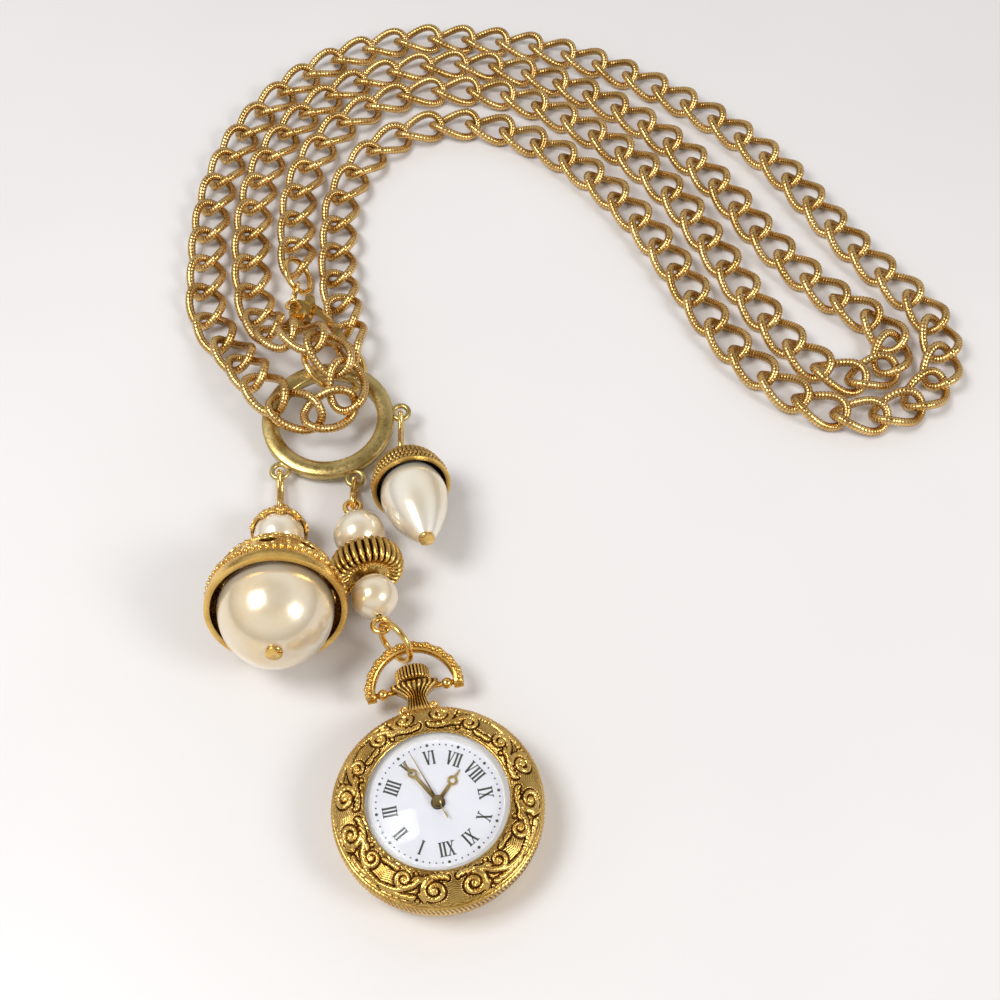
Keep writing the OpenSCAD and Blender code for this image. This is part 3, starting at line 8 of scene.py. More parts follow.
import bmesh
import bpy
import numpy as np
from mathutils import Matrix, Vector

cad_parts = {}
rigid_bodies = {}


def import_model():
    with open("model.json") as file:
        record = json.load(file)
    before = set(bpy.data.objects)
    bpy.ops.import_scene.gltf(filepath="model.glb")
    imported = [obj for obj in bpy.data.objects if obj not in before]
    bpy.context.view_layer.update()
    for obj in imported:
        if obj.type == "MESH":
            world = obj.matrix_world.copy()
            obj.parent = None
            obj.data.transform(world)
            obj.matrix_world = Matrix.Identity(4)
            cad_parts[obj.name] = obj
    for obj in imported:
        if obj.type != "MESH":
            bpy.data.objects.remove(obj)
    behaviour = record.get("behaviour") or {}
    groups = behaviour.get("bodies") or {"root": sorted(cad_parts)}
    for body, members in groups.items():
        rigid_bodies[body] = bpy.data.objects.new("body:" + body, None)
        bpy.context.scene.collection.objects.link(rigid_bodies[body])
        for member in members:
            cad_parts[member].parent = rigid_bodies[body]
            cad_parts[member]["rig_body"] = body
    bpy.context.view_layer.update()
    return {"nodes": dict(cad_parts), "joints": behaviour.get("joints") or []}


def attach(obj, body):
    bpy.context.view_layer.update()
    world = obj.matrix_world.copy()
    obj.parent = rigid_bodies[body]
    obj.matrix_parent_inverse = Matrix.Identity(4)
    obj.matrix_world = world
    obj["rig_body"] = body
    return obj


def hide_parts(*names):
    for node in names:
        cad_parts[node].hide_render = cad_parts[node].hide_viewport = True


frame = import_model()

LOG = logging.getLogger("pendant_watch")
MM = 0.001
TURN = 2 * math.pi
Socket = bpy.types.NodeSocket
Triple = tuple[float, float, float]
# Places of a colour mix node's sockets
MIX_SHARE, MIX_FIRST, MIX_SECOND, MIX_RESULT = 0, 6, 7, 2


class Slot(Enum):
    """Names of the record's material slots."""

    CASE = "case"
    CHAIN = "chain"
    RING = "ring"
    FITTINGS = "fittings"
    PEARL = "pearl"
    CRYSTAL = "crystal"
    DIAL = "dial"
    REHAUT = "rehaut"
    HANDS = "hands"


# Finishes


class NodeSheet:
    """A new material with short calls for adding and joining its nodes."""

    def __init__(self, name: str) -> None:
        """Start a material that holds one principled shader.

        Args:
            name: the material's name.
        """
        self.material = bpy.data.materials.new(name)
        self.material.use_nodes = True
        self.tree = self.material.node_tree
        self.shader = self.tree.nodes["Principled BSDF"]
        self.coords = self.tree.nodes.new("ShaderNodeTexCoord")

    def join(self, start: Socket, end: Socket) -> None:
        """Link two sockets."""
        self.tree.links.new(start, end)

    def fix(self, **values: float) -> None:
        """Set constant values on the shader's own sockets.

        Args:
            **values: socket names in lower case with low lines, and their values.
        """
        for name, value in values.items():
            words = name.replace("_", " ").title().replace("Ior", "IOR")
            self.shader.inputs[words].default_value = value

    def noise(self, scale: float, detail: float = 3.0, stretch: Triple = (1, 1, 1)) -> Socket:
        """Add noise on object coordinates.

        Args:
            scale: waves for each metre.
            detail: octaves of the noise.
            stretch: factors on the three axes.

        Returns:
            The socket of the noise's strength.
        """
        mapping = self.tree.nodes.new("ShaderNodeMapping")
        mapping.inputs["Scale"].default_value = stretch
        texture = self.tree.nodes.new("ShaderNodeTexNoise")
        texture.inputs["Scale"].default_value = scale
        texture.inputs["Detail"].default_value = detail
        self.join(self.coords.outputs["Object"], mapping.inputs["Vector"])
        self.join(mapping.outputs["Vector"], texture.inputs["Vector"])
        return texture.outputs["Fac"]

    def ramp(self, source: Socket, stops: list[tuple[float, Triple]]) -> Socket:
        """Add a colour ramp.

        Args:
            source: the socket that drives it.
            stops: places from 0 to 1, each with its colour.

        Returns:
            The colour socket.
        """
        ramp = self.tree.nodes.new("ShaderNodeValToRGB")
        marks = ramp.color_ramp.elements
        while len(marks) < len(stops):
            marks.new(0.5)
        for mark, (place, colour) in zip(marks, stops):
            mark.position = place
            mark.color = (*colour, 1)
        self.join(source, ramp.inputs["Fac"])
        return ramp.outputs["Color"]

    def span(self, source: Socket, low: float, high: float, start: float = 0.3, end: float = 0.7) -> Socket:
        """Map a socket from the range start..end to the range low..high.

        Args:
            source: the socket to map.
            low: result at start.
            high: result at end.
            start: low end of the source's range.
            end: high end of the source's range.

        Returns:
            The mapped socket.
        """
        node = self.tree.nodes.new("ShaderNodeMapRange")
        node.inputs["From Min"].default_value = start
        node.inputs["From Max"].default_value = end
        node.inputs["To Min"].default_value = low
        node.inputs["To Max"].default_value = high
        self.join(source, node.inputs["Value"])
        return node.outputs["Result"]

    def mix(self, share: Socket, first: Socket, second: Socket | Triple) -> Socket:
        """Mix two colours.

        Args:
            share: how much of the second colour shows.
            first: first colour socket.
            second: second colour socket, or a colour.

        Returns:
            The mixed colour socket.
        """
        node = self.tree.nodes.new("ShaderNodeMix")
        node.data_type = "RGBA"
        self.join(share, node.inputs[MIX_SHARE])
        self.join(first, node.inputs[MIX_FIRST])
        if isinstance(second, tuple):
            node.inputs[MIX_SECOND].default_value = (*second, 1)
        else:
            self.join(second, node.inputs[MIX_SECOND])
        return node.outputs[MIX_RESULT]

    def bump(self, height: Socket, depth: float) -> None:
        """Raise the shader's normal by a height.

        Args:
            height: socket from 0 to 1.
            depth: height of 1, in metres.
        """
        node = self.tree.nodes.new("ShaderNodeBump")
        node.inputs["Strength"].default_value = 1.0
        node.inputs["Distance"].default_value = depth
        self.join(height, node.inputs["Height"])
        self.join(node.outputs["Normal"], self.shader.inputs["Normal"])


@dataclass(frozen=True)
class AntiqueGold:
    """Gold plate, bright on high spots; brown patina in hollows, painted shade on inner and under faces."""

    name: str
    bright: Triple = (0.93, 0.62, 0.19)
    middle: Triple = (0.66, 0.39, 0.09)
    # Brown of the patina in the hollows, also used for painted shade on inner and under faces
    patina_and_shade: Triple = (0.08, 0.034, 0.010)
    smooth: float = 0.16
    dull: float = 0.34
    patch: float = 260.0
    worn_from: float = 0.32
    worn_to: float = 0.62
    patina_and_shade_from: float = 0.12
    patina_and_shade_to: float = 0.92
    grain: float = 2600.0
    depth: float = 0.00002

    def material(self) -> bpy.types.Material:
        """Make the material: worn patches, brown patina and painted shade by attribute, fine grain.

        Returns:
            The finished material.
        """
        sheet = NodeSheet(self.name)
        patches = sheet.noise(self.patch, detail=4.0)
        worn = sheet.ramp(patches, [(self.worn_from, self.middle), (self.worn_to, self.bright)])
        # The attribute holds patina in the hollows and painted shade on inner and under faces, both mixed
        # to brown
        marks = sheet.tree.nodes.new("ShaderNodeAttribute")
        marks.attribute_name = "patina_and_shade"
        depth = sheet.span(marks.outputs["Fac"], 0.0, 1.0, self.patina_and_shade_from, self.patina_and_shade_to)
        sheet.join(sheet.mix(depth, worn, self.patina_and_shade), sheet.shader.inputs["Base Color"])
        grain = sheet.noise(self.grain, detail=5.0)
        sheet.join(sheet.span(grain, self.smooth, self.dull), sheet.shader.inputs["Roughness"])
        sheet.bump(grain, self.depth)
        sheet.fix(metallic=1.0)
        return sheet.material


@dataclass(frozen=True)
class Nacre:
    """Pearl with cream and yellow tints under a clear coat."""

    name: str
    base: Triple = (0.85, 0.73, 0.53)
    warm: Triple = (0.84, 0.65, 0.38)
    pale: Triple = (0.90, 0.83, 0.69)
    patch: float = 110.0
    tint_marks: Triple = (0.34, 0.5, 0.66)
    mottle_scale: float = 12.0
    mottle_share: float = 0.14
    smooth: float = 0.20
    dull: float = 0.26
    depth: float = 0.00002
    metallic: float = 0.42

    def material(self) -> bpy.types.Material:
        """Make the material: soft tints, fine mottle and a hard clear coat.

        Returns:
            The finished material.
        """
        sheet = NodeSheet(self.name)
        wide = sheet.noise(self.patch, detail=2.0)
        body = sheet.ramp(wide, list(zip(self.tint_marks, (self.warm, self.base, self.pale))))
        mottle = sheet.noise(self.patch * self.mottle_scale, detail=4.0)
        share = sheet.span(mottle, 0.0, self.mottle_share)
        sheet.join(sheet.mix(share, body, self.pale), sheet.shader.inputs["Base Color"])
        sheet.join(sheet.span(mottle, self.smooth, self.dull), sheet.shader.inputs["Roughness"])
        sheet.bump(wide, self.depth)
        sheet.fix(metallic=self.metallic, coat_weight=0.9, coat_roughness=0.04, ior=1.53)
        return sheet.material


@dataclass(frozen=True)
class PlainCoat:
    """A finish of two near colours with fine grain, for metal or moulded parts."""

    name: str
    first: Triple
    second: Triple
    metallic: float = 0.0
    smooth: float = 0.3
    dull: float = 0.45
    coat: float = 0.0
    patch: float = 400.0
    first_to: float = 0.35
    second_from: float = 0.65
    grain: float = 3000.0
    depth: float = 0.00001
    stretch: Triple = (1, 1, 1)

    def material(self) -> bpy.types.Material:
        """Make the material from two noises, one for colour and one for grain.

        Returns:
            The finished material.
        """
        sheet = NodeSheet(self.name)
        marks = [(self.first_to, self.first), (self.second_from, self.second)]
        colour = sheet.ramp(sheet.noise(self.patch, detail=3.0), marks)
        sheet.join(colour, sheet.shader.inputs["Base Color"])
        grain = sheet.noise(self.grain, 4.0, self.stretch)
        sheet.join(sheet.span(grain, self.smooth, self.dull), sheet.shader.inputs["Roughness"])
        sheet.bump(grain, self.depth)
        sheet.fix(metallic=self.metallic, coat_weight=self.coat, coat_roughness=0.05)
        return sheet.material


@dataclass(frozen=True)
class ClearGlass:
    """Clear low-reflection glass that lets the lamps' light through to the dial."""

    name: str
    faint: Triple = (0.98, 0.985, 0.99)
    clear: Triple = (0.99, 0.995, 1.0)
    patch: float = 500.0
    shade: float = 0.06
    ior: float = 1.2

    def material(self) -> bpy.types.Material:
        """Make the material: glass for the eye, open to shadow rays and to light the dial scatters.

        Returns:
            The finished material.
        """
        sheet = NodeSheet(self.name)
        path = sheet.tree.nodes.new("ShaderNodeLightPath")
        passing = sheet.tree.nodes.new("ShaderNodeMath")
        passing.operation = "MAXIMUM"
        sheet.join(path.outputs["Is Shadow Ray"], passing.inputs[0])
        sheet.join(path.outputs["Is Diffuse Ray"], passing.inputs[1])
        alpha = sheet.span(passing.outputs[0], 1.0, self.shade, 0.0, 1.0)
        sheet.join(alpha, sheet.shader.inputs["Alpha"])
        tint = sheet.ramp(sheet.noise(self.patch, detail=2.0), [(0.3, self.faint), (0.7, self.clear)])
        sheet.join(tint, sheet.shader.inputs["Base Color"])
        sheet.fix(transmission_weight=1.0, roughness=0.0, ior=self.ior)
        return sheet.material


@dataclass
class Finishes:
    """All the materials of the part, made once."""

    made: dict[str, bpy.types.Material] = field(default_factory=dict)

    def __post_init__(self) -> None:
        """Make each finish."""
        looks = [
            AntiqueGold("case_gold"),
            AntiqueGold("chain_gold", bright=(0.95, 0.64, 0.25), middle=(0.65, 0.38, 0.11),
                        smooth=0.14, dull=0.3),
            AntiqueGold("ring_gold", bright=(0.68, 0.53, 0.22), middle=(0.46, 0.34, 0.12),
                        smooth=0.22, dull=0.4, grain=1800.0),
            AntiqueGold("polished_gold", bright=(0.93, 0.64, 0.22), middle=(0.76, 0.48, 0.13),
                        smooth=0.07, dull=0.16, depth=0.000006),
            AntiqueGold("hand_gold", bright=(0.97, 0.80, 0.40), middle=(0.86, 0.64, 0.25),
                        smooth=0.15, dull=0.25, depth=0.000004),
            Nacre("pearl_nacre"),
            Nacre("drop_nacre", base=(0.87, 0.79, 0.62), warm=(0.85, 0.70, 0.46),
                  pale=(0.92, 0.87, 0.76), patch=90.0),
            PlainCoat("dial_enamel", (0.72, 0.73, 0.79), (0.76, 0.77, 0.83), coat=0.2, patch=150.0,
                      depth=0.000002),
            PlainCoat("dial_ink", (0.035, 0.040, 0.028), (0.06, 0.065, 0.045), smooth=0.4, dull=0.6),
            PlainCoat("rehaut_silver", (0.88, 0.87, 0.85), (0.93, 0.92, 0.90), metallic=0.25,
                      smooth=0.3, dull=0.4),
            PlainCoat("plate_brass", (0.72, 0.55, 0.25), (0.80, 0.62, 0.30), metallic=1.0,
                      stretch=(1, 8, 1)),
            PlainCoat("wheel_steel", (0.62, 0.62, 0.63), (0.72, 0.72, 0.73), metallic=1.0,
                      smooth=0.2, dull=0.35),
            PlainCoat("cell_steel", (0.70, 0.70, 0.71), (0.80, 0.80, 0.80), metallic=1.0,
                      smooth=0.14, dull=0.24),
            PlainCoat("holder_plastic", (0.80, 0.79, 0.75), (0.85, 0.84, 0.80), depth=0.00002),
            PlainCoat("board_green", (0.015, 0.12, 0.05), (0.03, 0.17, 0.08), coat=0.3, patch=900.0),
            PlainCoat("coil_copper", (0.62, 0.25, 0.10), (0.75, 0.34, 0.15), metallic=0.9,
                      grain=9000.0, stretch=(1, 0.2, 1)),
            PlainCoat("seal_rubber", (0.02, 0.02, 0.02), (0.04, 0.04, 0.042), smooth=0.6, dull=0.8),
            ClearGlass("crystal_glass"),
        ]
        self.made = {look.name: look.material() for look in looks}

    def of(self, name: str) -> bpy.types.Material:
        """Give a finished material by name."""
        return self.made[name]


# Shapes


@dataclass(frozen=True)
class Place:
    """A local frame: where its origin is and how its axes turn."""

    origin: np.ndarray
    turn: np.ndarray

    @staticmethod
    def about(axis: int, angle: float) -> np.ndarray:
        """Give the turn about one axis.

        Args:
            axis: 0, 1 or 2.
            angle: degrees.

        Returns:
            A 3 by 3 matrix.
        """
        c, s = math.cos(math.radians(angle)), math.sin(math.radians(angle))
        i, j = (axis + 1) % 3, (axis + 2) % 3
        turn = np.eye(3)
        turn[i, i], turn[i, j], turn[j, i], turn[j, j] = c, -s, s, c
        return turn

    @classmethod
    def heading(cls, at: np.ndarray, azimuth: float, rise: float) -> "Place":
        """Frame whose third axis points along a compass heading and a rise.

        Args:
            at: the origin.
            azimuth: degrees from straight back, to the left.
            rise: degrees above the table.

        Returns:
            The frame.
        """
        return cls(np.array(at, float), cls.about(2, azimuth) @ cls.about(0, rise - 90))

    def put(self, points: np.ndarray) -> np.ndarray:
        """Move points from this frame to the shared one."""
        return self.origin + points @ self.turn.T

    def shifted(self, x: float, y: float, z: float, turn: np.ndarray | None = None) -> "Place":
        """Give a frame inside this one.

        Args:
            x: first share of the new origin.
            y: second share.
            z: third share.
            turn: how the new axes turn in this frame.

        Returns:
            The new frame.
        """
        return Place(self.put(np.array([x, y, z])), self.turn @ (np.eye(3) if turn is None else turn))


def around(steps: int) -> np.ndarray:
    """Give equal angles round one turn."""
    return np.linspace(0, TURN, steps, endpoint=False)


def wave(phase: np.ndarray) -> np.ndarray:
    """Give a cosine wave from 0 to 1, which is 1 at phase 0."""
    return 0.5 + 0.5 * np.cos(phase)


def rising(values: np.ndarray, start: float, run: float) -> np.ndarray:
    """Give 0 up to start, then an even rise to 1 along the run."""
    return np.clip((values - start) / run, 0, 1)


def falling(values: np.ndarray, end: float, run: float) -> np.ndarray:
    """Give 1, then an even fall along the run to 0 at the end."""
    return np.clip((end - values) / run, 0, 1)


def outward(outline: np.ndarray) -> np.ndarray:
    """Give an outline's unit normals: its slope, a quarter turn to the side of growing radius.

    Args:
        outline: radius and height, one row each.

    Returns:
        One normal for each row.
    """
    slope = np.gradient(outline, axis=0)
    return np.stack([slope[:, 1], -slope[:, 0]], axis=1) / np.linalg.norm(slope, axis=1)[:, None]


def lined(skin: np.ndarray, lining: np.ndarray) -> np.ndarray:
    """Follow the rows that differ at each angle with rows that don't.

    Args:
        skin: one block of rows for each angle.
        lining: the rows that follow each block.

    Returns:
        The longer blocks.
    """
    return np.concatenate([skin, np.broadcast_to(lining, (len(skin), *np.shape(lining)))], axis=1)


def smooth_curve(knots: list[tuple[float, ...]] | np.ndarray, count: int) -> np.ndarray:
    """Lay a smooth open curve through knots, with points at equal steps.

    Between two knots it is the cubic whose slope at each knot is half the step between its neighbours.

    Args:
        knots: the knots, one row each.
        count: how many points to give.

    Returns:
        The points, one row each.
    """
    fine = 24
    knots = np.asarray(knots, float)
    ends = np.vstack([2 * knots[:1] - knots[1:2], knots, 2 * knots[-1:] - knots[-2:-1]])
    steps = np.linspace(0, len(knots) - 1, fine * (len(knots) - 1) + 1)
    k = np.minimum(steps.astype(int), len(knots) - 2)
    t = (steps - k)[:, None]
    a, b, c, d = ends[k], ends[k + 1], ends[k + 2], ends[k + 3]
    curve = 0.5 * (2 * b + (c - a) * t + (2 * a - 5 * b + 4 * c - d) * t**2
                   + (3 * b - a - 3 * c + d) * t**3)
    run = np.concatenate([[0], np.cumsum(np.linalg.norm(np.diff(curve, axis=0), axis=1))])
    wanted = np.linspace(0, run[-1], count)
    return np.stack([np.interp(wanted, run, curve[:, i]) for i in range(curve.shape[1])], axis=1)


def coil(start: float, turns: float, outer: float, inner: float,
         count: int) -> tuple[np.ndarray, np.ndarray]:
    """Draw a flat spiral about zero, whose radius changes evenly with its turn.

    Args:
        start: angle at the outer end, in degrees.
        turns: turns to the inner end, below zero when clockwise.
        outer: radius at the start.
        inner: radius at the end.
        count: how many points.

    Returns:
        The first and the second share of each point.
    """
    t = np.linspace(0, 1, count)
    angle = math.radians(start) + TURN * turns * t
    radius = outer * (1 - t) + inner * t
    return radius * np.cos(angle), radius * np.sin(angle)


def revolve(profile: np.ndarray, steps: int) -> np.ndarray:
    """Turn a profile about the third axis: x = r cos a, y = r sin a, z = height.

    Args:
        profile: radius and height, either one row each or one block for each angle.
        steps: how many angles.

    Returns:
        Grid of points: angle, profile, three.
    """
    angle = around(steps)[:, None]
    radius, height = profile[..., 0], profile[..., 1]
    return np.stack([radius * np.cos(angle), radius * np.sin(angle), height + 0 * angle], axis=-1)


def tube(path: np.ndarray, radius: float | np.ndarray, lean: np.ndarray, sides: int = 6,
         closed: bool = False) -> np.ndarray:
    """Carry a circle along paths, square to each path.

    The circle's first axis is the part of lean that is square to the path.

    Args:
        path: points, in blocks of rows.
        radius: wire radius, one number or one for each point.
        lean: a direction for each point that isn't along the path.
        sides: corners of the section.
        closed: whether the path is a loop.

    Returns:
        Grid of points: block, corner, place on the path, three.
    """
    if closed:
        ahead = np.roll(path, -1, axis=-2) - np.roll(path, 1, axis=-2)
    else:
        ahead = np.gradient(path, axis=-2)
    ahead = ahead / np.linalg.norm(ahead, axis=-1, keepdims=True)
    side = np.cross(ahead, lean)
    side /= np.linalg.norm(side, axis=-1, keepdims=True)
    up = np.cross(side, ahead)
    turn = around(sides)[:, None, None]
    wire = np.broadcast_to(np.asarray(radius, float)[..., None], path.shape[:-1] + (1,))
    rim = np.cos(turn) * side[..., None, :, :] + np.sin(turn) * up[..., None, :, :]
    return path[..., None, :, :] + wire[..., None, :, :] * rim


def ball() -> np.ndarray:
    """Give a small ball of radius 1 with open poles: x = cos b cos a, y = cos b sin a, z = sin b.

    Returns:
        Grid of points: angle, height, three.
    """
    rows, cols, near_pole = 8, 5, 72
    lift = np.radians(np.linspace(-near_pole, near_pole, cols))
    return revolve(np.stack([np.cos(lift), np.sin(lift)], axis=1), rows)


def beads(centres: np.ndarray, diameters: float | np.ndarray) -> np.ndarray:
    """Put a small ball at each centre.

    Args:
        centres: one row each.
        diameters: one number, or one for each ball.

    Returns:
        Grid of points with one block for each ball.
    """
    size = np.broadcast_to(np.asarray(diameters, float), (len(centres),)) / 2
    return centres[:, None, None, :] + size[:, None, None, None] * ball()


@dataclass
class Stock:
    """Collects closed grid surfaces, in millimetres in one frame, for one piece."""

    place: Place = field(default_factory=lambda: Place(np.zeros(3), np.eye(3)))
    points: list[np.ndarray] = field(default_factory=list)
    marks: list[np.ndarray] = field(default_factory=list)
    faces: list[list[int]] = field(default_factory=list)
    total: int = 0

    def add(self, grid: np.ndarray, patina_and_shade: np.ndarray | float = 0.0, loop_cols: bool = False) -> None:
        """Add one grid, or a block of equal grids, whose rows run round.

        Each cell becomes a face. Open ends are closed by a fan. All are turned to face outwards, which
        the sign of the enclosed volume tells.

        Args:
            grid: points in the frame, as (block,) row, column, three.
            patina_and_shade: how deep each point lies, from 0 to 1.
            loop_cols: whether the columns also run round.
        """
        grid = self.place.put(grid if grid.ndim == 4 else grid[None])
        blocks, rows, cols = grid.shape[:3]
        deep = np.broadcast_to(np.asarray(patina_and_shade, float), grid.shape[:3]).reshape(blocks, -1)
        points = grid.reshape(blocks, -1, 3)
        i = np.arange(rows)[:, None]
        j = np.arange(cols if loop_cols else cols - 1)[None, :]
        i2, j2 = (i + 1) % rows, (j + 1) % cols
        corners = [i * cols + j, i2 * cols + j, i2 * cols + j2, i * cols + j2]
        cells = np.stack(corners, axis=-1).reshape(-1, 4)
        fans = np.zeros((0, 3), int)
        if not loop_cols:
            ends = grid[:, :, [0, -1]].mean(axis=1)
            points = np.concatenate([points, ends], axis=1)
            deep = np.concatenate([deep, deep[:, :1], deep[:, -1:]], axis=1)
            ring, after = np.arange(rows) * cols, (np.arange(rows) + 1) % rows * cols
            low, high = np.full(rows, rows * cols), np.full(rows, rows * cols + 1)
            low_fan = np.stack([low, after, ring], axis=1)
            high_fan = np.stack([high, ring + cols - 1, after + cols - 1], axis=1)
            fans = np.concatenate([low_fan, high_fan])
        first = points[0] - points[0].mean(axis=0)
        thirds = np.concatenate([cells[:, [0, 1, 2]], cells[:, [0, 2, 3]], fans])
        corner = first[thirds]
        if np.einsum("ij,ij->i", corner[:, 0], np.cross(corner[:, 1], corner[:, 2])).sum() < 0:
            cells, fans = cells[:, ::-1], fans[:, ::-1]
        shift = self.total + np.arange(blocks)[:, None, None] * points.shape[1]
        self.faces += (cells + shift).reshape(-1, 4).tolist()
        self.faces += (fans + shift).reshape(-1, 3).tolist()
        self.points.append(points.reshape(-1, 3))
        self.marks.append(deep.reshape(-1))
        self.total += blocks * points.shape[1]

    def turned(self, profile: np.ndarray, steps: int, patina_and_shade: np.ndarray | float = 0.0,
               at: float = 0.0) -> None:
        """Add a closed profile turned about the frame's third axis.

        Args:
            profile: radius and height, either one row each or one block for each angle.
            steps: how many angles.
            patina_and_shade: how deep each point lies, from 0 to 1.
            at: how far it is moved along the axis.
        """
        self.add(revolve(profile, steps) + np.array([0, 0, at]), patina_and_shade, loop_cols=True)

    def hoops(self, path: np.ndarray, radius: float, normal: np.ndarray) -> None:
        """Add closed wire loops.

        Args:
            path: each loop's points, in blocks of rows.
            radius: the wire's radius.
            normal: the surface's normal at each point.
        """
        self.add(tube(path, radius, normal, closed=True), 0.1, loop_cols=True)

    def plates(self, outlines: np.ndarray, low: float, high: float) -> None:
        """Add flat plates, each standing from low to high on its outline.

        Args:
            outlines: corners as plate, corner, two.
            low: height of the undersides.
            high: height of the tops.
        """
        heights = np.broadcast_to([[low], [high]], (*outlines.shape[:2], 2, 1))
        self.add(np.concatenate([np.repeat(outlines[:, :, None, :], 2, axis=2), heights], axis=-1))

    def piece(self, name: str, body: str, look: bpy.types.Material, slot: Slot,
              replaces: tuple[str, ...] = (), crease: float = 60.0) -> bpy.types.Object:
        """Make the piece and let it ride on a body.

        Args:
            name: the piece's name.
            body: the CAD body it moves with.
            look: its material.
            slot: the record's material slot; not used.
            replaces: the CAD nodes it stands for.
            crease: edges sharper than these degrees stay sharp.

        Returns:
            The new object.
        """
        mesh = bpy.data.meshes.new(name)
        mesh.from_pydata((np.concatenate(self.points) * MM).tolist(), [], self.faces)
        mark_patina_and_shade(mesh, np.concatenate(self.marks))
        return finish_piece(name, mesh, body, look, replaces, crease)


def mark_patina_and_shade(mesh: bpy.types.Mesh, deep: np.ndarray) -> None:
    """Store how deep each point lies, for the gold's brown patina in hollows and its painted shade.

    Args:
        mesh: the mesh.
        deep: one value from 0 to 1 for each point.
    """
    marks = mesh.attributes.new("patina_and_shade", "FLOAT", "POINT")
    marks.data.foreach_set("value", deep.astype(np.float32))


def finish_piece(name: str, mesh: bpy.types.Mesh, body: str, look: bpy.types.Material,
                 replaces: tuple[str, ...], crease: float) -> bpy.types.Object:
    """Shade a mesh smoothly, give it its material and tie it to the frame.

    Args:
        name: the piece's name.
        mesh: its mesh, in metres, in place.
        body: the CAD body it moves with.
        look: its material.
        replaces: the CAD nodes it stands for.
        crease: edges sharper than these degrees stay sharp.

    Returns:
        The new object.
    """
    mesh.polygons.foreach_set("use_smooth", np.ones(len(mesh.polygons), bool))
    mesh.set_sharp_from_angle(angle=math.radians(crease))
    mesh.materials.clear()
    mesh.materials.append(look)
    piece = bpy.data.objects.new(name, mesh)
    bpy.context.scene.collection.objects.link(piece)
    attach(piece, body)
    if replaces:
        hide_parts(*replaces)
    LOG.info("%s: %d faces on %s", name, len(mesh.polygons), body)
    return piece


def smoothed(node: str, look: bpy.types.Material, crease: float = 32.0,
             shade: Callable[[np.ndarray], np.ndarray] | None = None) -> bpy.types.Object:
    """Stand a merged and smoothly shaded copy in for a CAD node whose shape is right.

    Args:
        node: the CAD node.
        look: its material.
        crease: edges sharper than these degrees stay sharp.
        shade: gives how deep points lie, from their places in millimetres.

    Returns:
        The new object.
    """
    merge_gap = 2e-7
    source = frame["nodes"][node]
    copy = bmesh.new()
    copy.from_mesh(source.data)
    bmesh.ops.remove_doubles(copy, verts=copy.verts, dist=merge_gap)
    mesh = bpy.data.meshes.new(f"{node}_fine")
    copy.to_mesh(mesh)
    copy.free()
    if shade is not None:
        places = np.empty(3 * len(mesh.vertices), np.float32)
        mesh.vertices.foreach_get("co", places)
        mark_patina_and_shade(mesh, shade(places.reshape(-1, 3) / MM))
    return finish_piece(f"{node}_fine", mesh, source["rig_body"], look, (node,), crease)


def joint_at(name: str) -> np.ndarray:
    """Give a joint's place at rest, in millimetres."""
    places = {joint["name"]: joint["pos_m"] for joint in frame["joints"] if "pos_m" in joint}
    return np.array(places[name], float) / MM


def dress_node(node: str, look: bpy.types.Material) -> None:
    """Give a CAD node that stays its own material.

    Args:
        node: the CAD node.
        look: its material.
    """
    data = frame["nodes"][node].data
    data.materials.clear()
    data.materials.append(look)
    LOG.info("%s: dressed", node)


# Watch


